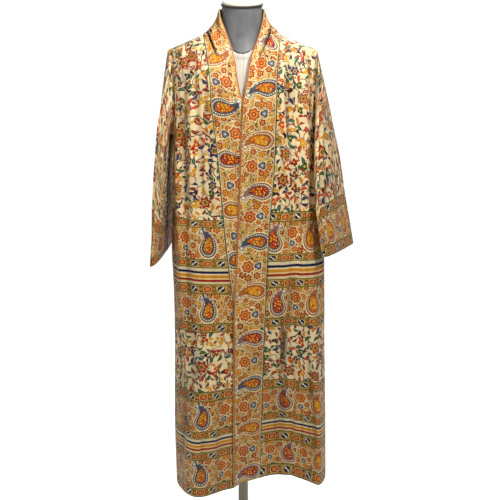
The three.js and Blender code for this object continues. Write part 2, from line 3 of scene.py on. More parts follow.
import bpy
import numpy as np
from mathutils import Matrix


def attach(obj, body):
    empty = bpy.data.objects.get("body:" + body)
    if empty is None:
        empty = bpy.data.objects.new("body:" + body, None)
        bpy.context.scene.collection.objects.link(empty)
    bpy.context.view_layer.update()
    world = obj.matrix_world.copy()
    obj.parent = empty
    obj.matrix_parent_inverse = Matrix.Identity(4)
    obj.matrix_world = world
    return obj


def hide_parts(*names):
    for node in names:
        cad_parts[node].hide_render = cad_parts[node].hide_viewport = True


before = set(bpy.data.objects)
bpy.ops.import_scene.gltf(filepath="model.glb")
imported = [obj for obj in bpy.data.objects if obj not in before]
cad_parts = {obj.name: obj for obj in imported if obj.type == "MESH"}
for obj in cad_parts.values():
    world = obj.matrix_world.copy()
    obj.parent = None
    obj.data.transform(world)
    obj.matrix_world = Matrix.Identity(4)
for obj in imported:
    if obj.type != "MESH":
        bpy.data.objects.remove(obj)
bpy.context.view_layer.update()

bl_info = {
    "name": "Kimono robe on a dress form",
    "version": (1, 0, 0),
    "blender": (4, 5, 0),
    "location": "View3D > Sidebar > Robe",
    "description": "Builds a full-length printed silk kimono robe on its dress form, with a plain studio",
    "category": "Object",
}

# ---- Driving sizes, in millimetres -------------------------------------------------------------------
# The robe's front faces -Y and +X is the wearer's left.  These are the solids' own sizes.
MM = 0.001
CHEST_Z = 1280.0
UNDERARM_Z = 1160.0
RIDGE_Z = 1460.0
TIP_X, TIP_Z = 202.0, 1418.0
RIDGE_SEAM = {"right": -106.0, "left": 102.0}
HEM_Z = {"right": 187.0, "left": 202.0, "back": 202.0}
LOWER_BAND_HEM_Z = 206.0
SHOULDER_POWER = 0.86
RING_POWER = 2 / 3
ARMHOLE = {"front": 60.0, "back": 68.0}
HIP_Z = 800.0
FLARE_Z = 860.0
OVERLAP = 4.6  # how far the upper front stands off the lower one, beside its edge
OVERLAP_FADE = (15.0, 85.0)  # how far from its seam this begins and ends
RIDGE_X = 104.0  # where the ridge, which falls evenly to the tip, is at RIDGE_Z
COLLAR_HOLLOW = 9.0
SLEEVE_POWER = 0.74
SLEEVE_STEP = 6.0
NECK_X = -1.5
NECK_BACK = {"x": -2.0, "seam_y": 90.0, "seam_z": 1446.0, "top_y": 66.0, "top_z": 1531.0}


def table(names, *rows):
    """A table with named columns, as one array for each column."""
    return {name: np.array(values, float) for name, values in zip(names.split(), zip(*rows))}


RINGS = table(
    "z right left front back",
    (1280, -190, 198, -128, 108),
    (1160, -192, 207, -130, 112),
    (1000, -195, 219, -127, 108),
    (880, -199, 227, -128, 116),
    (740, -195, 231, -128, 119),
    (600, -195, 233, -119, 122),
    (380, -198, 239, -104, 124),
    (190, -195, 242, -95, 126),
)
BANDS = table(
    "z lower_seam lower_edge upper_edge upper_seam",
    (1280, -84, 4, -1, 91),
    (1180, -71, 17, -5, 88),
    (1080, -61, 26, -8, 84),
    (960, -51, 35, -13, 74),
    (830, -38, 46, -18, 67),
    (740, -27, 53, -24, 64),
    (630, -27, 52, -25, 60),
    (400, -28, 46, -26, 54),
    (190, -29, 41, -27, 49),
)
# Vertical folds: x at the chest and at the hem, half width, and how far each stands out at three heights.
FOLDS = {
    "front": table(
        "x0 x1 wide chest hip hem",
        (-128, -141, 50, 0, 10, 88),
        (106, 95, 52, 0, -12, -60),
        (196, 224, 22, 0, 9, 72),
        (148, 141, 11, -5, -8, -9),
    ),
    "back": table(
        "x0 x1 wide chest hip hem",
        (-120, -128, 40, 0, 8, 34),
        (-48, -44, 34, 0, -6, -26),
        (40, 46, 36, 0, 6, 26),
        (118, 122, 34, 0, -7, -24),
        (176, 190, 26, 0, 5, 18),
    ),
}
EDGES = {
    "right": table(
        "at x y z",
        (0, -65, 0, 1525),
        (0.2, -60, -26, 1508),
        (0.42, -39, -56, 1456),
        (0.62, -20, -84, 1398),
        (0.82, -10, -112, 1334),
        (1, 4, -127.5, 1280),
    ),
    "left": table(
        "at x y z",
        (0, 60, 0, 1525),
        (0.2, 57, -26, 1508),
        (0.42, 42, -57, 1456),
        (0.62, 21, -86, 1400),
        (0.82, 11, -115, 1338),
        (1, -1, -132, 1280),
    ),
}
SLEEVES = {
    "right": table(
        "at x z thick rise reach swing hook drop",
        (0, -195, 1288, 4, 130, 62, -5, 0, 0),
        (0.25, -206, 1192, 8, 108, 112, 5, 0, 0),
        (0.5, -212, 1085, 11, 70, 130, 10, 0, 0),
        (0.75, -218, 972, 13, 33, 137, 13, 0, 2),
        (1, -226, 855, 14, -2, 141, 16, 0, 8),
    ),
    "left": table(
        "at x z thick rise reach swing hook drop",
        (0, 199, 1288, 4, 130, 62, -5, 0, 0),
        (0.25, 220, 1192, 7, 108, 112, -18, 16, 0),
        (0.5, 234, 1085, 11, 70, 126, -34, 12, 0),
        (0.75, 248, 972, 12, 33, 128, -42, 8, 0),
        (1, 266, 864, 14, 0, 130, -50, 4, -6),
    ),
}
TORSO = table(
    "z wide front back lean lift round",
    (790, 158, -94, 98, 0, 0, 0.88),
    (868, 168, -102, 102, 0, 0, 0.88),
    (970, 150, -95, 93, 0, 0, 0.9),
    (1070, 132, -90, 86, 0, 0, 0.92),
    (1160, 147, -100, 90, 0, 0, 0.9),
    (1245, 161, -112, 93, 0, 0, 0.88),
    (1310, 168, -104, 92, 0.02, 0, 0.88),
    (1355, 176, -88, 86, 0.05, 0, 0.88),
    (1385, 183, -74, 74, 0.1, 8, 0.9),
    (1400, 171, -67, 67, 0.15, 14, 0.92),
    (1408, 140, -65, 62, 0.2, 24, 0.94),
    (1415, 105, -65, 59, 0.24, 32, 0.96),
    (1419, 77, -63, 57, 0.23, 38, 0.98),
    (1421, 58, -61, 56, 0.2, 40, 1),
)
NECK = table(
    "z wide front back lean lift round",
    (1421.3, 58, -61, 56, 0.2, 40, 1),
    (1442, 55, -57, 54, 0.19, 26, 1),
    (1470, 53.5, -54, 53.5, 0.18, 8, 1),
    (1505, 53.5, -53.5, 53.5, 0.17, 0, 1),
    (1533, 54, -54, 54, 0.15, 0, 1),
    (1539, 55.5, -55.5, 55.5, 0.15, 0, 1),
)
NECK_CAP = table(
    "z wide front back lean lift round",
    (1539.3, 52.5, -52.5, 52.5, 0.15, 0, 1),
    (1545, 52.5, -52.5, 52.5, 0.15, 0, 1),
    (1550, 46, -46, 46, 0.15, 0, 1),
    (1553, 26, -26, 26, 0.15, 0, 1),
)
POLE = {"radius": 14.0, "bottom": 24.3, "top": 789.7}
NECK_RIM = table(
    "z wide front back lean lift round",
    (1534, 54.2, -54.2, 54.2, 0.15, 0, 1),
    (1535, 56, -56, 56, 0.15, 0, 1),
    (1539.4, 56.4, -56.4, 56.4, 0.15, 0, 1),
    (1540.6, 53, -53, 53, 0.15, 0, 1),
)
BASE = ((185, 0), (185, 7), (183.6, 9.6), (180, 11), (44, 15), (30, 16.6), (24, 20), (22, 24))

# Creases pressed into the cloth: from (x, z) to (x, z), half width and depth.  Positive ones stand out.
FRONT_CREASES = table(
    "x0 z0 x1 z1 wide depth",
    (-154, 1345, -160, 930, 9, -6.0),
    (-172, 1190, -176, 700, 8, 4.6),
    (-122, 1390, -112, 1060, 9, -4.8),
    (-138, 1300, -136, 1000, 7, 3.4),
    (-96, 1250, -88, 1010, 7, -3.2),
    (-140, 860, -150, 420, 12, -5.0),
    (-112, 700, -104, 380, 10, 3.8),
    (-78, 640, -84, 230, 11, 4.2),
    (-108, 520, -118, 215, 9, -4.4),
    (-170, 560, -174, 230, 9, -4.6),
    (122, 1400, 126, 1110, 8, -5.4),
    (107, 1180, 112, 830, 8, 3.6),
    (142, 1330, 150, 1080, 7, 3.4),
    (166, 1380, 176, 1020, 9, 4.8),
    (184, 1190, 190, 880, 7, -4.6),
    (150, 1040, 158, 820, 8, -4.4),
    (160, 980, 166, 610, 9, 4.0),
    (132, 820, 118, 560, 9, -5.2),
    (112, 700, 108, 330, 10, -5.0),
    (150, 600, 152, 300, 9, 3.8),
    (186, 620, 198, 240, 10, -5.2),
    (30, 1240, 24, 1090, 9, -2.4),
    (20, 700, 18, 420, 10, 2.6),
    (-4, 460, -2, 240, 8, -2.6),
    (214, 1010, 96, 940, 12, 2.6),
    (-190, 960, -92, 905, 12, 2.4),
    (210, 470, 120, 430, 13, -2.6),
    (-186, 420, -90, 372, 12, -2.4),
)
BACK_CREASES = table(
    "x0 z0 x1 z1 wide depth",
    (-150, 1360, -140, 1010, 9, -4.8),
    (-92, 1390, -84, 1180, 10, 3.6),
    (-30, 1400, -22, 1120, 12, -3.4),
    (46, 1390, 40, 1060, 10, 3.8),
    (104, 1370, 112, 980, 9, -5.0),
    (162, 1340, 170, 930, 8, 4.2),
    (-168, 980, -172, 560, 9, 4.2),
    (-96, 900, -104, 430, 12, -5.0),
    (-10, 940, -6, 520, 11, 3.8),
    (76, 880, 84, 360, 11, -4.8),
    (150, 760, 158, 300, 9, 4.4),
    (-60, 520, -66, 240, 9, -4.0),
    (20, 470, 24, 230, 10, 3.6),
)
# Creases of the sleeves by angle round the tube in degrees, where 0 is the outer side and 90 the front
# edge, and by share of the length.
SLEEVE_CREASES = {
    "right": table(
        "a0 t0 a1 t1 wide depth",
        (38, 0.1, 52, 0.62, 9, -5.0),
        (62, 0.22, 74, 0.8, 8, 3.8),
        (14, 0.3, 24, 0.9, 12, -4.2),
        (-30, 0.12, -44, 0.6, 10, -2.6),
        (-62, 0.4, -70, 0.92, 9, 2.2),
        (0, 0.05, 6, 0.3, 10, 1.8),
        (44, 0.6, 60, 1.1, 14, -4.5),
    ),
    "left": table(
        "a0 t0 a1 t1 wide depth",
        (34, 0.06, 50, 0.5, 9, -5.4),
        (58, 0.2, 72, 0.72, 8, 4.2),
        (20, 0.36, 34, 0.96, 12, -4.6),
        (-26, 0.12, -40, 0.58, 10, -2.6),
        (-60, 0.42, -72, 0.94, 9, 2.2),
        (2, 0.5, 10, 0.86, 10, 1.8),
        (56, 0.5, 68, 1.1, 17, -6.5),
    ),
}
# The sharp folds where the standing collar turns down to lie on the chest: how far over the shoulder and
# how far across the band each end is, as shares, half width in millimetres and depth.
COLLAR_CREASES = {
    "right": table(
        "turn0 across0 turn1 across1 wide depth",
        (0.07, 0.11, 0.54, 0.35, 3.8, -15.0),
        (0.05, 0.02, 0.52, 0.25, 6.0, 4.0),
        (0.04, 0.25, 0.22, 0.3, 2.8, -11.0),
    ),
    "left": table(
        "turn0 across0 turn1 across1 wide depth",
        (0.08, 0.29, 0.54, 0.66, 3.6, -14.0),
        (0.07, 0.18, 0.5, 0.54, 6.0, 3.2),
    ),
}


# The print's bands across the panels, from the top down, and the height at which each but the first starts.
PRINT_ORDER = (
    "trail edging paisleys edging stripes edging paisleys edging trail edging paisleys edging stripes"
    " edging paisleys edging"
).split()
PRINT_TOPS = {
    "right": (972, 951, 865, 840, 796, 768, 686, 660, 493, 464, 379, 358, 319, 295, 214),
    "left": (993, 966, 878, 856, 808, 783, 696, 670, 507, 480, 403, 382, 343, 312, 239),
    "back": (985, 960, 873, 850, 803, 777, 692, 666, 501, 473, 392, 371, 332, 304, 228),
}
PRINT_HEIGHT = {"edging": 25.0, "paisleys": 86.0, "stripes": 42.0}  # each band of it is drawn at this size
# The sleeves' print, by the share of the length where each band starts.
SLEEVE_PRINT = (("trail", 0.0), ("edging", 0.735), ("paisleys", 0.785), ("edging", 0.945))
SLEEVE_LENGTH = 445.0
SLEEVE_PRINT_SCALE = 0.72  # widths round a sleeve count as this much of the print's
BAND_REPEAT = 137.0  # between the paisleys along the neck band
BAND_START = 228.0  # the first one, from the top of the left length
BAND_JOIN = 319.0  # how far along the strip the right length starts beyond the left one
# Where each piece starts along the endless field of trailing flowers.
TRAIL_STARTS = {"front_left": 730.0, "back": 1510.0, "sleeve_right": 2620.0, "sleeve_left": 3390.0}
# Paisleys across a panel: the first one from the seam, the first colour, and the way from one to the next.
PAISLEYS = {"right": (55, 2, 136), "left": (113, 1, 108), "back": (54, 0, 120), "sleeve": (30, 1, 108)}


# ---- Curves and tables -------------------------------------------------------------------------------
def lerp(a, b, t):
    """From a at 0 to b at 1."""
    return a + (b - a) * t


def smooth(a, b, t):
    """0 up to a and 1 from b on, eased between them."""
    s = np.clip((t - a) / (b - a), 0, 1)
    return s * s * (3 - 2 * s)


def powered(value, power):
    return np.sign(value) * np.abs(value) ** power


def column(source, key, name, at):
    """A smooth curve through one column of a table, at the places at."""
    keys, values = source[key], source[name]
    at = np.asarray(at, float)
    if keys[-1] < keys[0]:
        keys, at = -keys, -at
    slopes = np.empty_like(values)
    slopes[1:-1] = (values[2:] - values[:-2]) / (keys[2:] - keys[:-2])
    slopes[0] = (values[1] - values[0]) / (keys[1] - keys[0])
    slopes[-1] = (values[-1] - values[-2]) / (keys[-1] - keys[-2])
    i = np.clip(np.searchsorted(keys, at) - 1, 0, len(keys) - 2)
    span = keys[i + 1] - keys[i]
    t = np.clip((at - keys[i]) / span, 0, 1)
    t2, t3 = t * t, t * t * t
    return (
        (2 * t3 - 3 * t2 + 1) * values[i]
        + (t3 - 2 * t2 + t) * span * slopes[i]
        + (3 * t2 - 2 * t3) * values[i + 1]
        + (t3 - t2) * span * slopes[i + 1]
    )


def unit(vectors):
    return vectors / np.maximum(np.linalg.norm(vectors, axis=-1, keepdims=True), 1e-9)


def points(x, y, z):
    return np.stack(np.broadcast_arrays(x, y, z), axis=-1)


def run(grid, axis):
    """The distance run along one axis of a grid of points, from its first row or column."""
    steps = np.linalg.norm(np.diff(grid, axis=axis), axis=-1)
    zero = np.zeros_like(np.take(steps, [0], axis=axis))
    return np.concatenate([zero, np.cumsum(steps, axis=axis)], axis=axis)


# ---- The robe's ring of cloth ------------------------------------------------------------------------
def fold_depth(side, x, z):
    """How far the vertical folds stand out from the ring."""
    down = (CHEST_Z - z) / (CHEST_Z - HEM_Z["right"])
    growth = smooth(FLARE_Z, HEM_Z["right"], z)
    fall = smooth(CHEST_Z, HIP_Z, z)
    total = 0.0
    for x0, x1, wide, chest, hip, hem in zip(*FOLDS[side].values()):
        depth = lerp(lerp(chest, hip, fall), hem, growth)
        total = total + depth * np.exp(-0.5 * ((x - lerp(x0, x1, down)) / wide) ** 2)
    return total


def ring_middle(z):
    """The middle and the half width of the ring."""
    right, left = column(RINGS, "z", "right", z), column(RINGS, "z", "left", z)
    return (right + left) / 2, (left - right) / 2


def angle_of_x(z, x):
    middle, half = ring_middle(z)
    return np.arccos(np.clip(powered((middle - x) / half, 1 / RING_POWER), -1, 1))


def angle_of_depth(z, depth, side):
    return np.arcsin(np.minimum(1, (depth / np.abs(column(RINGS, "z", side, z))) ** (1 / RING_POWER)))


def ring_point(z, angle, side, upper=False):
    """Points of the ring at height z.  The upper front stands off the lower one."""
    middle, half = ring_middle(z)
    x = middle - half * powered(np.cos(angle), RING_POWER)
    share = np.abs(np.sin(angle)) ** RING_POWER
    out = fold_depth(side, x, z)
    if upper:
        seam = column(BANDS, "z", "upper_seam", np.minimum(z, CHEST_Z))
        start, end = OVERLAP_FADE
        out = out + OVERLAP * (1 - smooth(seam + start, seam + end, x))
    depth = column(RINGS, "z", side, z)
    return points(x, share * (depth - out if side == "front" else depth + out), z)


def armhole_depth(z, side):
    rise = np.clip((z - UNDERARM_Z) / (CHEST_Z - UNDERARM_Z), 0, 1)
    return ARMHOLE[side] * np.sin(math.pi / 2 * rise)


def drape(top, chest, turn):
    """Cloth that turns over the shoulder, from points on its top edge to points on the chest ring."""
    across = np.sin(math.pi / 2 * turn) ** SHOULDER_POWER
    up = np.clip(np.cos(math.pi / 2 * turn), 0, 1) ** SHOULDER_POWER
    return points(
        lerp(top[..., 0], chest[..., 0], smooth(0, 1, turn)),
        lerp(top[..., 1], chest[..., 1], across),
        lerp(chest[..., 2], top[..., 2], up),
    )


def ridge_height(x):
    return lerp(RIDGE_Z, TIP_Z, (np.abs(x) - RIDGE_X) / (TIP_X - RIDGE_X))


def press(xz, creases, fade):
    """How far creases push the cloth out at the places (x, z)."""
    total = np.zeros(xz.shape[:-1])
    for x0, z0, x1, z1, wide, depth in zip(*creases.values()):
        start, step = np.array([x0, z0]), np.array([x1 - x0, z1 - z0])
        length = np.hypot(*step)
        along = ((xz - start) @ step) / length**2
        aside = ((xz - start) @ np.array([-step[1], step[0]])) / length
        wander = wide * 0.5 * np.sin(along * 5.1 + x0)
        ends = smooth(-fade, fade, along) * (1 - smooth(1 - fade, 1 + fade, along))
        total += depth * ends * np.exp(-(((aside - wander) / wide) ** 2))
    return total


# ---- Grids of cloth ----------------------------------------------------------------------------------
SHOULDER_ROWS = 40
ARMHOLE_ROWS = 20
ROW_HEIGHT = 5.5  # below the armholes, in millimetres
FRONT_COLUMNS = 80
BACK_COLUMNS = 140
BAND_COLUMNS = 56
COLLAR_COLUMNS = 72
COLLAR_ROWS = 24
SLEEVE_ROWS = 110
LAST_ARMHOLE_ROW = SHOULDER_ROWS + ARMHOLE_ROWS
SHOULDER_SHARE, NECK_SHARE = 7 / 29, 15 / 29  # of the back's columns, over each shoulder and behind the neck


def rows(side):
    """turn, z and down for each row from the ridge to the hem.  Each band of the print starts on a row."""
    turn = np.linspace(0, 1, SHOULDER_ROWS + 1)
    z = [CHEST_Z] * SHOULDER_ROWS + list(np.linspace(CHEST_Z, UNDERARM_Z, ARMHOLE_ROWS + 1))
    lines = [UNDERARM_Z, *PRINT_TOPS[side], HEM_Z[side]]
    down = [0.0]
    for top, low in zip(lines, lines[1:]):
        count = max(2, round((top - low) / ROW_HEIGHT))
        for k in range(1, count + 1):
            down.append((UNDERARM_Z - lerp(top, low, k / count)) / (UNDERARM_Z - HEM_Z[side]))
    turn = np.concatenate([turn, np.ones(ARMHOLE_ROWS + len(down) - 1)])
    z = np.array(z + [UNDERARM_Z] * (len(down) - 1))
    down = np.array([0.0] * LAST_ARMHOLE_ROW + down)
    return turn, z, down


def front_grid(side):
    """A front, from the side seam to its neck-band seam."""
    turn, z, down = (a[:, None] for a in rows(side))
    t = np.linspace(0, 1, FRONT_COLUMNS + 1)[None]
    z = lerp(z, HEM_Z[side], down)
    edge = angle_of_depth(z, armhole_depth(z, "front"), "front")
    left = side == "left"
    seam = column(BANDS, "z", "upper_seam" if left else "lower_seam", z)
    chest = ring_point(z, lerp(math.pi - edge if left else edge, angle_of_x(z, seam), t), "front", left)
    x = lerp(TIP_X if left else -TIP_X, RIDGE_SEAM[side], t)
    grid = np.where(turn[..., None] >= 1, chest, drape(points(x, 0.0, ridge_height(x)), chest, turn))
    return grid[:, ::-1] if left else grid


def back_top(x):
    """The back's top edge: the ridges and the curve behind the neck."""
    low, high = RIDGE_SEAM["right"], RIDGE_SEAM["left"]
    share = np.sin(math.pi * np.clip((x - low) / (high - low), 0, 1)) ** 0.62
    inside = (x > low) & (x < high)
    z = np.where(inside, lerp(ridge_height(np.float64(low)), NECK_BACK["seam_z"], share), ridge_height(x))
    return points(x, np.where(inside, NECK_BACK["seam_y"] * share, 0.0), z)


def back_grid():
    """The back, from one shoulder tip to the other."""
    turn, z, down = (a[:, None] for a in rows("back"))
    t = np.linspace(0, 1, BACK_COLUMNS + 1)
    neck = np.clip((t - SHOULDER_SHARE) / NECK_SHARE, 0, 1)
    low, high = RIDGE_SEAM["right"], RIDGE_SEAM["left"]
    x = lerp(low, high, (1 - np.cos(math.pi * neck)) / 2)
    x = np.where(t < SHOULDER_SHARE, lerp(-TIP_X, low, t / SHOULDER_SHARE), x)
    x = np.where(t > 1 - SHOULDER_SHARE, lerp(high, TIP_X, (t - 1 + SHOULDER_SHARE) / SHOULDER_SHARE), x)
    z = lerp(z, HEM_Z["back"], down)
    edge = angle_of_depth(z, armhole_depth(z, "back"), "back")
    chest = ring_point(z, lerp(edge, math.pi - edge, t[None]), "back")
    grid = np.where(turn[..., None] >= 1, chest, drape(back_top(x)[None], chest, turn))
    return grid[:, ::-1]


def hollowed(start, end, t, share):
    """Points between the two edges of the collar, which curves in towards the neck."""
    point = lerp(start, end, t[..., None])
    inwards = unit(points(NECK_BACK["x"] - point[..., 0], -point[..., 1], 0.0))
    return point + inwards * (COLLAR_HOLLOW * share * np.sin(math.pi * t))[..., None]


def band_grid(side, front):
    """One length of the neck band, which stands at the neck and lies on the chest and below."""
    left = side == "left"
    turn, z, down = (a[:, None] for a in rows(side))
    seam = front[:, :1] if left else front[:, -1:]
    t = np.linspace(0, 1, BAND_COLUMNS + 1)[None]
    low = HEM_Z["left"] if left else lerp(HEM_Z["right"], LOWER_BAND_HEM_Z, smooth(0, 0.5, t))
    height = lerp(z, low, down)
    free = column(BANDS, "z", "upper_edge" if left else "lower_edge", height)
    x = lerp(seam[..., 0], free, t)
    lying = ring_point(height, angle_of_x(height, x), "front", left)
    edge = points(*(column(EDGES[side], "at", axis, turn) for axis in "xyz"))
    t, turn = np.broadcast_arrays(t, turn)
    standing = hollowed(seam, edge, t, 1 - turn)
    grid = np.where(turn[..., None] >= 1, lying, standing)
    grid[:, 0] = seam[:, 0]
    return grid[:, ::-1] if left else grid


def collar_grid():
    """The standing stretch of the neck band behind the neck."""
    t = np.linspace(0, 1, COLLAR_ROWS + 1)[:, None]
    angle = np.linspace(0, math.pi, COLLAR_COLUMNS + 1)[None]
    share = np.sin(angle)
    seam = back_top(lerp(RIDGE_SEAM["left"], RIDGE_SEAM["right"], (1 - np.cos(angle)) / 2))
    left, right = EDGES["left"]["x"][0] - NECK_BACK["x"], NECK_BACK["x"] - EDGES["right"]["x"][0]
    top = points(
        NECK_BACK["x"] + np.where(np.cos(angle) > 0, left, right) * powered(np.cos(angle), 0.9),
        NECK_BACK["top_y"] * np.clip(share, 0, 1) ** 0.8,
        lerp(EDGES["left"]["z"][0], NECK_BACK["top_z"], share),
    )
    t, _ = np.broadcast_arrays(t, angle)
    return hollowed(top, seam, t, 1)


def grid_normals(grid, closed=False):
    """Unit normals, which point out when rows run down and columns run anticlockwise from above."""
    down = np.concatenate([grid[1:2] - grid[:1], grid[2:] - grid[:-2], grid[-1:] - grid[-2:-1]])
    if closed:
        along = np.roll(grid, -1, axis=1) - np.roll(grid, 1, axis=1)
    else:
        ends = grid[:, 1:2] - grid[:, :1], grid[:, -1:] - grid[:, -2:-1]
        along = np.concatenate([ends[0], grid[:, 2:] - grid[:, :-2], ends[1]], 1)
    return unit(np.cross(down, along))


def part_at_sides(grid, normals, towards, gap):
    """Keeps the front and the back apart where a grid meets the plane y = 0."""
    near = np.abs(grid[..., 1]) <= gap
    grid[..., 1][near] = towards * gap / 2
    normals[..., 1][near] = 0
    normals[near] = unit(normals[near])


def open_seam(grid, edge, after, gap):
    """Draws one edge column back towards its neighbour by half of the gap."""
    grid[:, edge] += unit(grid[:, after] - grid[:, edge]) * gap / 2


# ---- Walls -------------------------------------------------------------------------------------------
HEM_ROWS, HEM_THICKNESS = 3, 1.35  # the last rows of a wall are this much thicker
CREASE_SHADE_DEPTH, CREASE_SHADE_POWER = 12.0, 1.6  # painted shade in the creases: a place pushed in this far is painted fully dark
BAKE_MARGIN, BAKE_HALF = 0.01, 0.5  # each layer has its own half of the baking map, with a margin round it


def with_first(columns):
    """The columns with the first one again after the last."""
    return np.concatenate([columns, columns[:, :1]], 1)


def ridden(name, mesh):
    piece = bpy.data.objects.new(name, mesh)
    bpy.context.collection.objects.link(piece)
    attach(piece, "root")
    return piece


def write_uv(mesh, name, uv):
    layer = mesh.uv_layers.new(name=name)
    layer.data.foreach_set("uv", uv.reshape(-1).astype(np.float32))


def write_attribute(mesh, name, domain, values):
    attribute = mesh.attributes.new(name, "FLOAT", domain)
    attribute.data.foreach_set("value", values.ravel().astype(np.float32))


class Wall:
    """A closed wall between a grid and the same grid moved in, with its print and its zones by row.

    across and along are each point's place on the cloth, push is how far it was pressed out, and seam_axis
    is the axis of the grid that runs away from the seam.
    """

    def __init__(
        self, name, grid, normals, thick, across, along, zones, push=None, closed=False, seam_axis=1
    ):
        self.name, self.closed, self.zones = name, closed, zones
        row_count, columns = grid.shape[:2]
        push = np.zeros(across.shape) if push is None else push
        if closed:
            values = across, along, push
            across, along, push = (with_first(a) if a.shape[1] == columns else a for a in values)
        self.across, self.along = across, along
        # Painted shade: how dark the creases are painted, from how far the cloth is pushed in.
        self.fold = np.clip(-push / CREASE_SHADE_DEPTH, 0, 1) ** CREASE_SHADE_POWER
        self.seam = across.max(axis=seam_axis, keepdims=True) - across
        hem = np.ones(row_count)
        hem[-HEM_ROWS:] = HEM_THICKNESS
        inner = grid - normals * (thick * hem)[:, None, None]
        self.verts = np.concatenate([grid.reshape(-1, 3), inner.reshape(-1, 3)])
        outer = np.arange(row_count * columns).reshape(row_count, columns)
        self.index = with_first(outer) if closed else outer
        self.shift = row_count * columns

    def faces(self):
        """Corner lists as (row, column, layer) arrays of shape (faces, 4)."""
        down, wide = self.index.shape
        i, j = (a.ravel() for a in np.meshgrid(np.arange(down - 1), np.arange(wide - 1), indexing="ij"))

        def quads(*corners):
            return np.stack([np.stack([r, c, layer * np.ones_like(r)], -1) for r, c, layer in corners], 1)

        sets = [
            quads((i, j, 0), (i + 1, j, 0), (i + 1, j + 1, 0), (i, j + 1, 0)),
            quads((i, j, 1), (i, j + 1, 1), (i + 1, j + 1, 1), (i + 1, j, 1)),
        ]
        j = np.arange(wide - 1)
        top, low = 0 * j, 0 * j + down - 1
        sets.append(quads((top, j, 0), (top, j + 1, 0), (top, j + 1, 1), (top, j, 1)))
        sets.append(quads((low, j, 0), (low, j, 1), (low, j + 1, 1), (low, j + 1, 0)))
        if not self.closed:
            i = np.arange(down - 1)
            first, last = 0 * i, 0 * i + wide - 1
            sets.append(quads((i, first, 0), (i, first, 1), (i + 1, first, 1), (i + 1, first, 0)))
            sets.append(quads((i, last, 0), (i + 1, last, 0), (i + 1, last, 1), (i, last, 1)))
        return np.concatenate(sets)

    def build(self, materials):
        """The wall as a piece, with a material for each kind of zone, its print's UVs and its attributes."""
        corners = self.faces()
        row, col, layer = corners[..., 0], corners[..., 1], corners[..., 2]
        down, wide = self.index.shape
        mesh = bpy.data.meshes.new(self.name)
        mesh.from_pydata((self.verts * MM).tolist(), [], (self.index[row, col] + layer * self.shift).tolist())

        kinds, starts, lows, scales = zip(*self.zones)
        band = np.minimum(row.min(axis=1), down - 2)
        zone = np.searchsorted(starts, band, side="right") - 1
        low, scale = (np.array(values)[zone][:, None] for values in (lows, scales))
        trailing = np.array([kind == "trail" for kind in kinds])[zone][:, None]
        across = self.across[row, col] + TRAIL_STARTS.get(self.name, 0.0) * trailing
        write_uv(mesh, "Print", np.stack([across, (self.along[row, col] - low) * scale], -1) * MM)

        width = BAKE_HALF - 3 * BAKE_MARGIN
        u = BAKE_MARGIN + width * col / (wide - 1) + BAKE_HALF * layer
        v = 1 - BAKE_MARGIN - (1 - 2 * BAKE_MARGIN) * row / (down - 1)
        single = layer.min(axis=1) == layer.max(axis=1)
        write_uv(mesh, "OFBake", np.stack([np.where(single[:, None], u, u % BAKE_HALF), v], -1))

        used = list(dict.fromkeys(kinds))
        for kind in used:
            mesh.materials.append(materials[kind])
        slots = np.array([used.index(kind) for kind in kinds])[zone]
        mesh.polygons.foreach_set("material_index", slots.astype(np.int32))
        write_attribute(mesh, "seam", "CORNER", self.seam[row, col] * MM)
        # The creases' painted shade, which the silk's shader mixes into the print's colour.
        write_attribute(mesh, "fold", "CORNER", self.fold[row, col])
        write_attribute(mesh, "wrong_side", "FACE", layer.min(axis=1) == 1)
        mesh.polygons.foreach_set("use_smooth", single)
        mesh.update()
        return ridden(self.name, mesh)


def zones_of(kinds, firsts, tops, lows):
    """The print's zones as (kind, first row, low edge, scale).  A field of trailing flowers isn't scaled."""
    return [
        (kind, first, 0.0, 1.0) if kind == "trail" else (kind, first, low, PRINT_HEIGHT[kind] / (top - low))
        for kind, first, top, low in zip(kinds, firsts, tops, lows)
    ]


def panel_zones(side, height):
    """The zones of a panel.  height is that of each row."""
    tops = PRINT_TOPS[side]
    firsts = [0, *(int(np.argmin(np.abs(height - top))) for top in tops)]
    return zones_of(PRINT_ORDER, firsts, [CHEST_Z, *tops], [*tops, HEM_Z[side]])


def creases_on(source, across, wide, down, long):
    """Creases that are tabled by two other measures, as creases on a flat strip of cloth."""
    x0, x1 = (source[f"{across}{end}"] * wide for end in (0, 1))
    z0, z1 = (source[f"{down}{end}"] * long for end in (0, 1))
    return {"x0": x0, "z0": z0, "x1": x1, "z1": z1, "wide": source["wide"], "depth": source["depth"]}


CREASE_FADE = 0.22  # how much of a panel's crease fades out at each end
COLLAR_FADE = 0.3
SLEEVE_FADE = 0.2
SIDE_FADE = (4.0, 40.0)  # how near to the side seams the creases of the panels end
COLLAR_WIDTH, COLLAR_TURN = 100.0, 230.0  # the standing collar, as a flat strip
SLEEVE_DEGREE = 2.0  # a degree round the sleeve, as a length


def press_panels(grids, depth):
    """Presses the creases into the panels and returns how far they push each place out."""
    pushes = {}
    for name, grid in grids.items():
        creases = BACK_CREASES if name == "back" else FRONT_CREASES
        push = press(grid[..., [0, 2]], creases, CREASE_FADE)
        push = push * smooth(*SIDE_FADE, np.abs(grid[..., 1])) * depth
        grid += grid_normals(grid) * push[..., None]
        pushes[name] = push
    return pushes


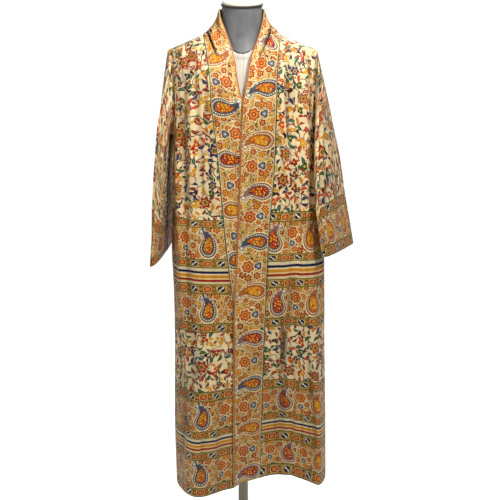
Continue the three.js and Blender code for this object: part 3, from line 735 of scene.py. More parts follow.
def press_bands(bands, depth):
    """Presses the chest's creases and the collar's sharp folds into the neck band, away from its seam."""
    pushes = {}
    for side, grid in bands.items():
        turn = rows(side)[0][:, None]
        share = np.linspace(0, 1, BAND_COLUMNS + 1)[None]
        share = share[:, ::-1] if side == "left" else share
        inside = smooth(0, 0.08, share)
        lying = press(grid[..., [0, 2]], FRONT_CREASES, CREASE_FADE) * smooth(0.6, 1, turn)
        turn, share = np.broadcast_arrays(turn, share)
        folds = creases_on(COLLAR_CREASES[side], "across", COLLAR_WIDTH, "turn", COLLAR_TURN)
        place = np.stack([share * COLLAR_WIDTH, turn * COLLAR_TURN], -1)
        pushes[side] = (lying + press(place, folds, COLLAR_FADE) * (turn < 1)) * inside * depth
        grid += grid_normals(grid) * pushes[side][..., None]
    return pushes


def robe_walls(cloth, gap, depth):
    """Every piece of the robe, in the order in which they were cut and joined."""
    grids = {"right": front_grid("right"), "left": front_grid("left"), "back": back_grid()}
    pushes = press_panels(grids, depth)
    bands = {side: band_grid(side, grids[side]) for side in ("right", "left")}
    band_pushes = press_bands(bands, depth)
    collar = collar_grid()
    normals = {name: grid_normals(grid) for name, grid in grids.items()}
    band_normals = {name: grid_normals(grid) for name, grid in bands.items()}
    collar_normals = grid_normals(collar)

    for side, edge, after in (("right", -1, -2), ("left", 0, 1)):
        band_edge, band_after = -1 - edge, -1 - after
        joint = unit(normals[side][:, edge] + band_normals[side][:, band_edge])
        normals[side][:, edge] = joint
        band_normals[side][:, band_edge] = joint
        open_seam(grids[side], edge, after, gap)
        open_seam(bands[side], band_edge, band_after, gap)
    collar[-1] += unit(collar[-2] - collar[-1]) * gap * 2
    for side in ("right", "left"):
        part_at_sides(grids[side], normals[side], -1, gap)
        part_at_sides(bands[side], band_normals[side], -1, gap)
    part_at_sides(grids["back"], normals["back"], 1, gap)
    part_at_sides(collar, collar_normals, 1, gap)

    walls = []
    for name, side in (("back", "back"), ("front_right", "right"), ("front_left", "left")):
        grid = grids[side]
        _, z, down = rows(side)
        height = lerp(z, HEM_Z[side], down)
        across = run(grid, 1)
        across = across if side == "right" else across[:, -1:] - across
        across = across + armhole_depth(height, "back" if side == "back" else "front")[:, None]
        along = np.broadcast_to(height[:, None], across.shape).copy()
        fall = run(grid, 0)
        along[:SHOULDER_ROWS] = CHEST_Z + fall[SHOULDER_ROWS][None] - fall[:SHOULDER_ROWS]
        zones = panel_zones(side, height)
        walls.append(Wall(name, grid, normals[side], cloth["panel"], across, along, zones, pushes[side]))
    band_zone = [("band", 0, 0.0, 1.0)]
    for side in ("right", "left"):
        name, grid, normal = f"band_{side}", bands[side], band_normals[side]
        across = run(grid, 1)
        across = across[:, -1:] - across if side == "right" else across
        length = np.broadcast_to(run(grid, 0).mean(axis=1, keepdims=True), across.shape)
        along = length if side == "left" else -(BAND_JOIN + length)
        walls.append(Wall(name, grid, normal, cloth["band"], across, along, band_zone, band_pushes[side]))
    across, along = run(collar, 0), -run(collar, 1)
    walls.append(
        Wall("collar_back", collar, collar_normals, cloth["band"], across, along, band_zone, seam_axis=0)
    )
    for side in ("right", "left"):
        walls.append(sleeve_wall(side, grids, normals, cloth["panel"], gap, depth))
    return walls


def armhole_loop(side, grids, normals):
    """The armhole as points, normals and the way off each panel's edge, anticlockwise from above."""
    left = side == "left"
    parts = []
    for name, at_start in ((side, not left), ("back", left)):
        grid, normal = grids[name], normals[name]
        edge, after = (0, 1) if at_start else (-1, -2)
        away = unit(grid[:, edge] - grid[:, after])
        away[LAST_ARMHOLE_ROW] = (0, 0, 1)
        parts.append(np.stack([grid[:, edge], normal[:, edge], away], 1)[: LAST_ARMHOLE_ROW + 1].copy())
    front, back = parts
    for place in (front[0], front[-1]):
        place[0, 1] = 0
    loop = np.concatenate([front, back[-2:0:-1]])
    return loop[::-1] if left else loop


def sleeve_ring(source, at, angle, out):
    """Points round a sleeve at a share of its length.  out is 1 on the wearer's left and -1 on the right."""
    names = "x z thick rise reach swing hook drop".split()
    x, z, thick, rise, reach, swing, hook, drop = (column(source, "at", name, at) for name in names)
    c, s = powered(np.cos(angle), SLEEVE_POWER), powered(np.sin(angle), SLEEVE_POWER)
    step = SLEEVE_STEP * smooth(0, 0.03, at) * (1 - np.maximum(0, c))
    aside = thick * c + swing * s + step - hook * np.maximum(0, s) ** 3
    return points(x + out * aside, -reach * s, z + rise * c - drop * s)


def sleeve_wall(side, grids, normals, thick, gap, depth):
    """A sleeve, from its armhole to its cuff."""
    loop = armhole_loop(side, grids, normals)
    edge, panel_normal, away = loop[:, 0], loop[:, 1], loop[:, 2]
    source, out = SLEEVES[side], 1 if side == "left" else -1
    centre = edge.mean(axis=0)
    reach, rise = source["reach"][0], source["rise"][0]
    angle = np.arctan2(-(edge[:, 1] - centre[1]) / reach, (edge[:, 2] - centre[2]) / rise)
    offset = edge + away * gap * 1.5 - sleeve_ring(source, np.zeros(1), angle, out)
    at = (np.linspace(0, 1, SLEEVE_ROWS + 1) ** 1.25)[:, None]
    kinds, tops = zip(*SLEEVE_PRINT)
    for top in tops[1:]:
        at[np.argmin(np.abs(at - top))] = top
    grid = sleeve_ring(source, at, angle[None], out) + offset[None] * (1 - smooth(0, 0.3, at))[..., None]

    degrees = np.degrees(angle)[None]
    place = np.stack(np.broadcast_arrays(degrees * SLEEVE_DEGREE, at * SLEEVE_LENGTH), -1)
    folds = creases_on(SLEEVE_CREASES[side], "a", SLEEVE_DEGREE, "t", SLEEVE_LENGTH)
    outside = smooth(-0.2, 0.35, np.cos(angle))[None]
    push = press(place, folds, SLEEVE_FADE) * smooth(0.02, 0.12, at) * outside * depth
    grid = grid + grid_normals(grid, True) * push[..., None]
    normal = grid_normals(grid, True)
    joint = unit(normal[0] + panel_normal)
    joint -= away * np.maximum(0, (joint * away).sum(axis=1, keepdims=True))
    normal[0] = unit(joint)

    across = run(with_first(grid), 1) * SLEEVE_PRINT_SCALE
    along = np.broadcast_to((1 - at) * SLEEVE_LENGTH, across.shape)
    firsts = [int(np.argmin(np.abs(at[:, 0] - top))) for top in tops]
    heights = [(1 - top) * SLEEVE_LENGTH for top in (*tops, 1.0)]
    zones = zones_of(kinds, firsts, heights, heights[1:])
    return Wall(f"sleeve_{side}", grid, normal, thick, across, along, zones, push, closed=True)


# ---- The form ----------------------------------------------------------------------------------------
FORM_SIDES = 96
POLE_SIDES = 48


def loft(name, source, row_count):
    """A smooth closed body through a table of rings."""
    z = np.linspace(source["z"][0], source["z"][-1], row_count)
    z = np.unique(np.concatenate([z, source["z"]]))[:, None]
    names = "wide front back lean lift round".split()
    wide, front, back, lean, lift, power = (column(source, "z", name, z) for name in names)
    angle = np.linspace(0, 2 * math.pi, FORM_SIDES, endpoint=False)[None]
    c, s = powered(np.cos(angle), power), powered(np.sin(angle), power)
    y = np.where(s < 0, -s * front, s * back)
    rings = points(NECK_X + wide * c, y, z + lean * y + lift * c * c)
    return solid_of_rings(name, rings)


def solid_of_rings(name, rings):
    """A piece through rings of points, closed by a fan at each end."""
    count, sides = rings.shape[:2]
    middle = rings[[0, -1]].mean(axis=1)
    verts = np.concatenate([rings.reshape(-1, 3), middle])
    faces = []
    for i in range(count - 1):
        for j in range(sides):
            k = (j + 1) % sides
            faces.append((i * sides + j, i * sides + k, (i + 1) * sides + k, (i + 1) * sides + j))
    last, low, high = (count - 1) * sides, count * sides, count * sides + 1
    for j in range(sides):
        k = (j + 1) % sides
        faces.append((low, k, j))
        faces.append((high, last + j, last + k))
    mesh = bpy.data.meshes.new(name)
    mesh.from_pydata((verts * MM).tolist(), [], faces)
    mesh.polygons.foreach_set("use_smooth", [len(f) == 4 for f in faces])
    mesh.update()
    return ridden(name, mesh)


def turned(name, profile, sides):
    """A body turned from a profile of (radius, height)."""
    angle = np.linspace(0, 2 * math.pi, sides, endpoint=False)[None]
    radius, height = np.array(profile, float).T
    radius, height = radius[:, None], height[:, None]
    return solid_of_rings(name, points(radius * np.cos(angle), radius * np.sin(angle), height))


# ---- Shader nodes ------------------------------------------------------------------------------------
VALUE, COLOR, VECTOR = "NodeSocketFloat", "NodeSocketColor", "NodeSocketVector"


def linear(code):
    """A colour given as six hexadecimal digits, as linear RGBA."""
    parts = [int(code[i : i + 2], 16) / 255 for i in (0, 2, 4)]
    return (*(c / 12.92 if c <= 0.04045 else ((c + 0.055) / 1.055) ** 2.4 for c in parts), 1.0)


class Term:
    """A node's output.  Arithmetic with it adds Math nodes, so it is for numbers and not for vectors."""

    def __init__(self, graph, socket):
        self.graph, self.socket = graph, socket

    def __add__(self, other):
        return self.graph.math("ADD", self, other)

    def __sub__(self, other):
        return self.graph.math("SUBTRACT", self, other)

    def __rsub__(self, other):
        return self.graph.math("SUBTRACT", other, self)

    def __mul__(self, other):
        return self.graph.math("MULTIPLY", self, other)

    def __truediv__(self, other):
        return self.graph.math("DIVIDE", self, other)

    def __abs__(self):
        return self.graph.math("ABSOLUTE", self)


class Graph:
    """Writes a node tree.  Most methods add a node and return its output as a term."""

    def __init__(self, tree):
        self.tree = tree

    def node(self, kind, inputs=(), **settings):
        node = self.tree.nodes.new(kind)
        for name, value in settings.items():
            setattr(node, name, value)
        for name, value in dict(inputs).items():
            self.feed(node.inputs[name], value)
        return node

    def feed(self, socket, value):
        if isinstance(value, Term):
            self.tree.links.new(value.socket, socket)
        else:
            socket.default_value = value

    def out(self, output, kind, inputs=(), **settings):
        """One output of a new node, by its name or number."""
        return Term(self, self.node(kind, inputs, **settings).outputs[output])

    def outs(self, node):
        return {output.name: Term(self, output) for output in node.outputs}

    def math(self, operation, *values):
        return self.out(0, "ShaderNodeMath", enumerate(values), operation=operation)

    def line(self, value, slope, start):
        """value times slope, plus start."""
        return self.math("MULTIPLY_ADD", value, slope, start)

    def vector(self, operation, *values):
        return self.out(0, "ShaderNodeVectorMath", enumerate(values), operation=operation)

    def scale(self, vector, factor):
        return self.out(0, "ShaderNodeVectorMath", {"Vector": vector, "Scale": factor}, operation="SCALE")

    def length(self, vector):
        return self.out("Value", "ShaderNodeVectorMath", {0: vector}, operation="LENGTH")

    def split(self, vector):
        return self.outs(self.node("ShaderNodeSeparateXYZ", {0: vector})).values()

    def join(self, x, y, z=0.0):
        return self.out(0, "ShaderNodeCombineXYZ", {0: x, 1: y, 2: z})

    def mix(self, factor, a, b):
        return self.out(2, "ShaderNodeMix", {0: factor, 6: a, 7: b}, data_type="RGBA")

    def between(self, value, low, high, start=0.0, end=1.0):
        """start where value is low or less, end where it is high or more."""
        return self.out(0, "ShaderNodeMapRange", {0: value, 1: low, 2: high, 3: start, 4: end})

    def below(self, value, limit, soft):
        """1 where value is under limit, falling to 0 over soft."""
        return self.between(value, limit - soft, limit, 1.0, 0.0)

    def paint(self, color, value, *layers, within=None):
        """Paints over color where value is under a limit.  Layers are (limit, soft, paint)."""
        for limit, soft, paint in layers:
            mask = self.below(value, limit, soft)
            mask = mask if within is None else mask * within
            color = self.mix(mask, color, linear(paint) if isinstance(paint, str) else paint)
        return color

    def noise(self, place, scale, detail=2.0):
        return self.out(0, "ShaderNodeTexNoise", {"Vector": place, "Scale": scale, "Detail": detail})

    def bend(self, place, scale, detail, far):
        """The place moved about by soft noise, by half of far at most."""
        inputs = {"Vector": place, "Scale": scale, "Detail": detail}
        drift = self.out(1, "ShaderNodeTexNoise", inputs, noise_dimensions="2D")
        return self.vector("ADD", place, self.scale(self.vector("SUBTRACT", drift, (0.5, 0.5, 0.5)), far))

    def cells(self, place, scale, spread, feature="F1"):
        """The outputs of a flat pattern of scattered cells."""
        inputs = {"Vector": place, "Scale": scale, "Randomness": spread}
        return self.outs(self.node("ShaderNodeTexVoronoi", inputs, voronoi_dimensions="2D", feature=feature))

    def ramp(self, value, stops):
        """A colour for each step of value.  Stops are (start, colour)."""
        node = self.node("ShaderNodeValToRGB", {0: value})
        ramp = node.color_ramp
        ramp.interpolation = "CONSTANT"
        while len(ramp.elements) < len(stops):
            ramp.elements.new(1.0)
        for element, (place, color) in zip(ramp.elements, stops):
            element.position = place
            element.color = linear(color)
        return Term(self, node.outputs[0])

    def curve(self, value, *places):
        """value through a smooth curve, from 0 to 1 on both ways."""
        node = self.node("ShaderNodeFloatCurve", {"Value": value})
        curve = node.mapping.curves[0].points
        curve[0].location, curve[1].location = places[0], places[-1]
        for place in places[1:-1]:
            curve.new(*place)
        node.mapping.update()
        return Term(self, node.outputs[0])

    def attribute(self, name):
        return self.out("Fac", "ShaderNodeAttribute", attribute_name=name)

    def group(self, name, **inputs):
        """The outputs of a shader group.  In the inputs' names _ stands for a space."""
        node = self.node("ShaderNodeGroup")
        node.node_tree = bpy.data.node_groups[name]
        for label, value in inputs.items():
            self.feed(node.inputs[label.replace("_", " ")], value)
        return self.outs(node)


class Group(Graph):
    """A new shader group, with its sockets given as {name: kind}."""

    def __init__(self, name, inputs, outputs):
        super().__init__(bpy.data.node_groups.new(name, "ShaderNodeTree"))
        for direction, sockets in (("INPUT", inputs), ("OUTPUT", outputs)):
            for label, kind in sockets.items():
                self.tree.interface.new_socket(label, in_out=direction, socket_type=kind)
        self.source = self.outs(self.node("NodeGroupInput"))
        self.end = self.node("NodeGroupOutput")

    def close(self, **results):
        for label, value in results.items():
            self.feed(self.end.inputs[label], value)

    def scattered(self):
        """The place within the nearest of the group's cells, and three random numbers of that cell."""
        place = self.source["Vector"]
        cell = self.cells(place, self.source["Scale"], self.source["Spread"])
        picks = self.outs(self.node("ShaderNodeSeparateColor", {0: cell["Color"]})).values()
        return self.vector("SUBTRACT", place, cell["Position"]), *picks


# ---- The print's motifs ------------------------------------------------------------------------------
FULL_TURN = 6.28


def flower_group():
    """A flower in each cell: Reach is 0 at its heart and 1 at the edge of its petals."""
    graph = Group(
        "Flower in each cell",
        {"Vector": VECTOR, "Scale": VALUE, "Radius": VALUE, "Petals": VALUE, "Depth": VALUE, "Spread": VALUE},
        {"Reach": VALUE, "Pick": VALUE},
    )
    local, pick, turn, size = graph.scattered()
    x, y, _ = graph.split(local)
    angle = graph.math("ARCTAN2", y, x) + turn * FULL_TURN
    petal = graph.math("COSINE", angle * graph.source["Petals"])
    rim = graph.line(petal, graph.source["Depth"], 1.0) * graph.line(size, 0.5, 0.72)
    graph.close(Reach=graph.length(local) / graph.source["Radius"] / rim, Pick=pick)


def leaf_group():
    """A curved, pointed leaf in each cell: Reach is 0 on its rib and 1 at its edge."""
    graph = Group(
        "Leaf in each cell",
        {"Vector": VECTOR, "Scale": VALUE, "Length": VALUE, "Width": VALUE, "Spread": VALUE},
        {"Reach": VALUE, "Pick": VALUE},
    )
    local, pick, turn, _ = graph.scattered()
    inputs = {"Vector": local, "Angle": turn * FULL_TURN}
    x, y, _ = graph.split(graph.out(0, "ShaderNodeVectorRotate", inputs, rotation_type="Z_AXIS"))
    along = x / graph.source["Length"]
    square = along * along
    rib = graph.line(square, graph.source["Width"] * -0.9, y)
    half = graph.source["Width"] * graph.math("MAXIMUM", 1.0 - square, 0.001)
    graph.close(Reach=abs(rib) / half, Pick=pick)


def paisley_group():
    """A paisley that stands on its round end and hooks over at its tip.

    Reach is 1 at its outline, Heart is 0.66 at the outline of its inner field, and Turn is the angle round
    it.  shoulder is the height of its widest place as a share of its own.
    """
    graph = Group(
        "Paisley",
        {"Vector": VECTOR, "Height": VALUE, "Width": VALUE},
        {"Reach": VALUE, "Heart": VALUE, "Turn": VALUE},
    )
    place, width, height = (graph.source[name] for name in ("Vector", "Width", "Height"))
    shoulder = 0.33
    x, y, _ = graph.split(place)
    tall = y / height
    above = graph.math("MINIMUM", graph.math("MAXIMUM", (tall - shoulder) / (1 - shoulder), 0.0), 1.0)
    under = graph.math("MINIMUM", (tall - shoulder) / shoulder, 0.0)
    slim = graph.curve(above, (0, 1.0), (0.25, 0.88), (0.45, 0.7), (0.69, 0.62), (0.85, 0.56), (1, 0.44))
    lean = graph.curve(above, (0, 0.5), (0.3, 0.55), (0.48, 0.55), (0.69, 0.47), (0.85, 0.36), (1, 0.2))
    aside = (x - (lean - 0.5) * width) / (width * 0.5 * slim)
    round_end = graph.line(aside, aside, under * under)
    reach = graph.math("SQRT", round_end + graph.math("POWER", above, 6.0))
    heart = graph.math("SQRT", round_end + graph.math("POWER", above * 1.12, 3.0))
    for curl_x, curl_y, radius in ((-0.37, 0.925, 0.12), (-0.47, 0.845, 0.09)):
        curl = graph.vector("SUBTRACT", place, graph.join(width * curl_x, height * curl_y))
        curl = graph.length(curl) / (width * radius)
        reach = graph.math("MINIMUM", reach, graph.line(curl, 0.25, 0.75))
    graph.close(Reach=reach, Heart=heart, Turn=graph.math("ARCTAN2", x, y - height * 0.36))


SPECK_INKS = (
    (0.0, "2c4a1a"),
    (0.22, "ab3208"),
    (0.4, "161c4a"),
    (0.52, "c8700e"),
    (0.66, "6a1408"),
    (0.8, "33401a"),
)


def ground_group(gold):
    """The close little flowers that fill the bands, between curling cream lines."""
    graph = Group("Close little flowers", {"Vector": VECTOR}, {"Color": COLOR})
    place = graph.source["Vector"]
    bent = graph.bend(place, 70.0, 0.0, 0.022)
    sizes = {"Scale": 98.0, "Length": 0.0056, "Width": 0.0027}
    specks = graph.group("Leaf in each cell", Vector=bent, Spread=0.9, **sizes)
    color = graph.paint(gold, specks["Reach"], (1.0, 0.2, graph.ramp(specks["Pick"], SPECK_INKS)))
    lines = graph.cells(bent, 58.0, 0.95, "DISTANCE_TO_EDGE")["Distance"]
    color = graph.paint(color, lines, (0.1, 0.03, "5c260c"), (0.07, 0.035, "efd6a0"))
    large = graph.group(
        "Flower in each cell", Vector=place, Scale=43.0, Radius=0.0088, Petals=6.0, Depth=0.17, Spread=0.85
    )
    petals = graph.ramp(large["Pick"], [(0.0, "c4560c"), (0.35, "a8300c"), (0.6, "cf8014"), (0.85, "8a240e")])
    color = graph.paint(
        color,
        large["Reach"],
        (1.22, 0.06, "efd6a0"),
        (1.0, 0.06, "5a1c0a"),
        (0.9, 0.08, petals),
        (0.46, 0.08, "e8b840"),
        (0.28, 0.08, "7a200c"),
    )
    graph.close(Color=color)


# The rim, the beaded ring and the field of the three kinds of paisley.
PAISLEY_INKS = (
    ("22232e", "70280c", "4e2226"),
    ("4b4c5a", "aa6428", "8a625a"),
    ("b05e10", "cc8a18", "9e140a"),
)


def paisley_paint(graph, color, place, pick, height, width):
    """Paints one paisley over color.  pick chooses blue grey, orange or red."""
    beads, cream = 24.0, "f0e4cc"
    shape = graph.group("Paisley", Vector=place, Height=height, Width=width)
    reach, heart = shape["Reach"], shape["Heart"]
    rim, ring, field = (graph.ramp(pick, list(zip((0.0, 0.34, 0.67), inks))) for inks in PAISLEY_INKS)
    bead = (graph.math("FRACT", shape["Turn"] * (beads / math.tau)) - 0.5) * 2.0
    row = (reach - 0.82) / 0.13
    ring = graph.paint(ring, graph.math("SQRT", graph.line(bead, bead, row * row)), (0.72, 0.2, cream))
    dots = graph.cells(place, 250.0, 0.4)["Distance"]
    tip = 1.0 - graph.below(heart, 1.12, 0.08)
    ring = graph.paint(ring, dots, (0.42, 0.12, cream), within=tip)
    seeds = graph.group(
        "Flower in each cell", Vector=place, Scale=150.0, Radius=0.0031, Petals=4.0, Depth=0.25, Spread=0.7
    )
    grain = graph.ramp(seeds["Pick"], [(0.0, "efb428"), (0.4, "e0660f"), (0.6, "f0d8a0"), (0.85, "8d1c10")])
    field = graph.paint(field, seeds["Reach"], (0.95, 0.2, grain))
    color = graph.paint(color, reach, (1.2, 0.05, "f0dca6"), (1.06, 0.05, rim), (1.0, 0.06, ring))
    return graph.paint(color, heart, (0.66, 0.05, rim), (0.59, 0.06, field))


# Large single flowers: their lobes, how deep those are cut, how far they start, and the layers from the
# edge in, each with its limit, softness and colour.
ROSETTE = (
    3.5,
    0.26,
    0.78,
    (
        (1.18, 0.05, "f0dca6"),
        (1.02, 0.05, "74240f"),
        (0.95, 0.07, "c2500e"),
        (0.62, 0.06, "e9b458"),
        (0.5, 0.06, "a3300c"),
        (0.24, 0.08, "e9a030"),
    ),
)
FAN = (
    1.5,
    0.35,
    0.7,
    ((1.2, 0.08, "f0dca6"), (1.0, 0.1, "40455a"), (0.6, 0.1, "80848c"), (0.24, 0.1, "efe2c4")),
)


def single_flower(graph, color, flower, x, y, radius):
    """Paints one large flower over color, round the place where x and y are 0."""
    lobes, depth, start, layers = flower
    wave = abs(graph.math("SINE", graph.math("ARCTAN2", y, x) * lobes))
    reach = graph.length(graph.join(x, y)) / radius / graph.line(wave, depth, start)
    return graph.paint(color, reach, *layers)


def repeat(graph, value, period, phase):
    """The place within a repeat, from minus half to half of it, and the repeat's number."""
    moved = (value - phase) / period
    number = graph.math("FLOOR", moved + 0.5)
    return (moved - number) * period, number


def third(graph, number):
    """A repeat's number as a pick between three colours."""
    return graph.math("FRACT", number / 3.0) + 0.02


# ---- The robe's prints -------------------------------------------------------------------------------
LEAF_TONES = ("0d4f1c", "ce7a06", "a00c08", "0c1052", "c43c04", "084e46", "7c080a", "d8980a")


def tones(first, start):
    """A ramp's stops through the leaf tones from the first one on, over the picks from start to 1."""
    ordered = LEAF_TONES[first:] + LEAF_TONES[:first]
    return [(start + (1 - start) * k / len(ordered), tone) for k, tone in enumerate(ordered)]


# Leaves: cells to a metre, length, width, the share of cells that stay empty, and where the cells start.
LEAF_LAYERS = (
    (50.0, 0.0092, 0.0037, 0.08, 0.31),
    (38.0, 0.0122, 0.0050, 0.12, 1.7),
)


def trail_print(graph, place, cream):
    """Trailing stems with leaves and flowers on cream."""
    net = graph.cells(graph.bend(place, 34.0, 1.0, 0.055), 16.0, 1.0, "DISTANCE_TO_EDGE")["Distance"]
    color = graph.paint(cream, net, (0.046, 0.014, "3a120c"))

    def flowers(scale, radius, petals, depth, spread):
        inputs = {"Scale": scale, "Radius": radius, "Petals": petals, "Depth": depth, "Spread": spread}
        return graph.group("Flower in each cell", Vector=place, **inputs)

    def most(pick, skip):
        """1 in the cells that show, 0 in the share of them that is skipped."""
        return 1.0 - graph.below(pick, skip, 0.002)

    curls = flowers(24.0, 0.0105, 1.0, 0.3, 1.0)
    half = graph.below(curls["Pick"], 0.5, 0.01)
    color = graph.paint(color, abs(curls["Reach"] - 1.0), (0.1, 0.05, "3f150c"), within=half)
    for scale, length, width, skip, turn in LEAF_LAYERS:
        at = graph.vector("ADD", place, (turn, turn * 0.7, 0.0))
        sizes = {"Scale": scale, "Length": length, "Width": width}
        leaf = graph.group("Leaf in each cell", Vector=at, Spread=0.58, **sizes)
        shown = most(leaf["Pick"], skip)
        color = graph.paint(color, leaf["Reach"], (1.25, 0.1, cream), within=shown)
        inked = graph.below(leaf["Reach"], 1.0, 0.1) * shown
        color = graph.mix(inked, color, graph.ramp(leaf["Pick"], tones(int(turn * 2), skip)))
        color = graph.paint(color, leaf["Reach"], (0.1, 0.06, "ead9a0"), within=inked * 0.4)
    buds, skip = flowers(29.0, 0.008, 3.0, 0.34, 0.9), 0.36
    petals = graph.ramp(buds["Pick"], tones(2, skip))
    layers = (1.0, 0.08, petals), (0.36, 0.08, "e3b84e")
    color = graph.paint(color, buds["Reach"], *layers, within=most(buds["Pick"], skip))
    bloom = flowers(13.5, 0.0152, 6.0, 0.2, 0.95)
    inks = [(0.0, "b04a14"), (0.42, "a02414"), (0.58, "c48420"), (0.72, "1e265e"), (0.84, "b4380f")]
    layers = (
        (1.1, 0.05, cream),
        (0.98, 0.06, "4f170b"),
        (0.9, 0.07, graph.ramp(bloom["Pick"], inks)),
        (0.52, 0.06, "d9b050"),
        (0.36, 0.06, "8a2a14"),
        (0.24, 0.06, "3c6a30"),
    )
    return graph.paint(color, bloom["Reach"], *layers, within=most(bloom["Pick"], 0.25))


def paisleys_print(graph, place, phase, first, period):
    """Upright paisleys with flowers between each two, on the close ground.  first picks the colours' turn."""
    height, width, foot = 0.077, 0.045, 0.005
    phase, period = phase * MM, period * MM
    x, y, _ = graph.split(place)
    color = graph.group("Close little flowers", Vector=place)["Color"]
    aside, _ = repeat(graph, x, period, phase + period / 2)
    color = single_flower(graph, color, ROSETTE, aside, y - 0.056, 0.0165)
    color = single_flower(graph, color, FAN, aside - 0.002, y - 0.027, 0.0095)
    local, number = repeat(graph, x, period, phase)
    pick = third(graph, number + first)
    return paisley_paint(graph, color, graph.join(local, y - foot), pick, height, width)


def edging_print(graph, place):
    """A gold edging between green lines, with white hooks on dark ovals, bars and red buds."""
    period, half_width = 0.076, 0.0125
    x, y, _ = graph.split(place)
    local, _ = repeat(graph, x, period, 0.0)
    bud, _ = repeat(graph, x, period, period / 2)
    middle = y - half_width
    leaf = graph.group("Leaf in each cell", Vector=place, Scale=140.0, Length=0.0046, Width=0.002, Spread=0.6)
    inks = [(0.0, "9c3318"), (0.24, "e0bf6c"), (0.42, "46662c"), (0.6, "c2691c"), (0.78, "2c2628")]
    color = graph.paint(linear("c08a24"), leaf["Reach"], (1.0, 0.2, graph.ramp(leaf["Pick"], inks)))

    def oval(aside, wide, tall):
        a, b = aside / wide, middle / tall
        return graph.line(a, a, b * b)

    square = graph.math("MAXIMUM", abs(abs(local) - 0.0205), abs(middle) * 0.55)
    color = graph.paint(color, square, (0.0042, 0.0006, "2a1f22"), (0.0026, 0.0006, "d9891e"))
    color = graph.paint(color, oval(local, 0.0115, 0.0085), (1.25, 0.15, "e6d5a6"), (0.95, 0.12, "27202e"))
    wave = graph.math("SINE", local * 400.0) * 0.0036
    hook = graph.math("MAXIMUM", abs(middle - wave) / 0.0021, abs(local) / 0.0072)
    color = graph.paint(color, hook, (1.0, 0.2, "f4ecd8"))
    layers = (1.2, 0.15, "e6d5a6"), (0.98, 0.12, "9c2410"), (0.4, 0.1, "cf7f22")
    color = graph.paint(color, oval(bud, 0.0115, 0.0078), *layers)
    layers = (0.0042, 0.0006, "a8862e"), (0.0024, 0.0006, "33512a")
    return graph.paint(color, half_width - abs(middle), *layers)


def stripes_print(graph, place):
    """Cream, navy, cream, gold, cream, red and cream, from the top."""
    _, y, _ = graph.split(place)
    stripes = zip(
        (0.0, 0.15, 0.29, 0.38, 0.56, 0.66, 0.81),
        ("dcc490", "9a160c", "e6c884", "d08a18", "ecd49c", "0e1448", "e0d0a4"),
    )
    return graph.ramp(y / (PRINT_HEIGHT["stripes"] * MM), list(stripes))


def band_print(graph, place):
    """Sideways paisleys down the neck band, large flowers between each two, and its coloured edges."""
    length, width, foot = 0.083, 0.046, 0.089
    period, start = BAND_REPEAT * MM, BAND_START * MM
    x, y, _ = graph.split(place)
    color = graph.group("Close little flowers", Vector=place)["Color"]
    along, _ = repeat(graph, y, period, start + period / 2)
    color = single_flower(graph, color, ROSETTE, x - 0.032, along, 0.017)
    color = single_flower(graph, color, FAN, x - 0.06, along + 0.002, 0.0115)
    local, number = repeat(graph, y, period, start)
    turned_place = graph.join(local * -1.0, foot - x)
    color = paisley_paint(graph, color, turned_place, third(graph, number), length, width)
    layers = (0.0046, 0.0006, "c9a060"), (0.0032, 0.0005, "a8331c"), (0.0010, 0.0004, "dcc48a")
    color = graph.paint(color, x, *layers)
    return graph.paint(color, graph.attribute("seam"), (0.0042, 0.0006, "dcc896"), (0.0026, 0.0006, "3c5236"))


# ---- Finishes ----------------------------------------------------------------------------------------
def silk_group():
    """The silk itself: its weave, slubs, soft hang, painted shade in the creases and the paler wrong side."""
    graph = Group(
        "Silk",
        {"Vector": VECTOR, "Color": COLOR, "Wrong side": VALUE, "Fold": VALUE},
        {"Color": COLOR, "Roughness": VALUE, "Height": VALUE},
    )
    place = graph.source["Vector"]
    slubs = graph.noise(graph.vector("MULTIPLY", place, (60.0, 900.0, 1.0)), 1.0)
    inputs = {"Vector": place, "Scale": 260.0}
    weave = graph.out(1, "ShaderNodeTexWave", inputs, bands_direction="DIAGONAL")
    shade = graph.between(graph.noise(place, 9.0, 3.0), 0.3, 0.7, 0.9, 1.06)
    color = graph.out(0, "ShaderNodeHueSaturation", {"Value": shade, "Color": graph.source["Color"]})
    color = graph.mix(graph.source["Wrong side"] * 0.35, color, linear("d8c08a"))
    # Painted shade: the colour is darkened towards dark brown where the creases push the cloth in.
    color = graph.mix(graph.source["Fold"] * 0.9, color, linear("2a1408"))
    hang = graph.noise(graph.vector("MULTIPLY", place, (26.0, 5.0, 1.0)), 1.0)
    height = graph.line(hang, 34.0, graph.line(slubs, 0.3, weave * 0.15))
    graph.close(Color=color, Roughness=graph.line(slubs, 0.2, 0.3), Height=height)


def cover_group():
    """The form's cloth covers: a plain weave with a little soiling."""
    graph = Group(
        "Plain weave",
        {"Vector": VECTOR, "Color": COLOR, "Soiled": COLOR, "Threads": VALUE},
        {"Color": COLOR, "Height": VALUE},
    )
    place, soiled = graph.source["Vector"], graph.source["Soiled"]
    threads = graph.noise(graph.vector("MULTIPLY", place, (1.0, 1.0, 0.5)), graph.source["Threads"])
    cloud = graph.between(graph.noise(place, 14.0, 3.0), 0.35, 0.7)
    color = graph.mix(cloud, graph.source["Color"], soiled)
    graph.close(Color=graph.mix(threads * 0.12, color, soiled), Height=threads)


def new_material(name, values):
    """A material, its graph and its shader, with the plain values of the shader's sockets by name."""
    material = bpy.data.materials.new(name)
    material.use_nodes = True
    graph = Graph(material.node_tree)
    shader = material.node_tree.nodes["Principled BSDF"]
    for label, value in values.items():
        shader.inputs[label].default_value = value
    return material, graph, shader


def surface(graph, shader, color, height, strength, depth):
    """Feeds the shader's colour and its bump, which stands depth metres high."""
    graph.feed(shader.inputs["Base Color"], color)
    bump = graph.out(0, "ShaderNodeBump", {"Strength": strength, "Distance": depth, "Height": height})
    graph.feed(shader.inputs["Normal"], bump)


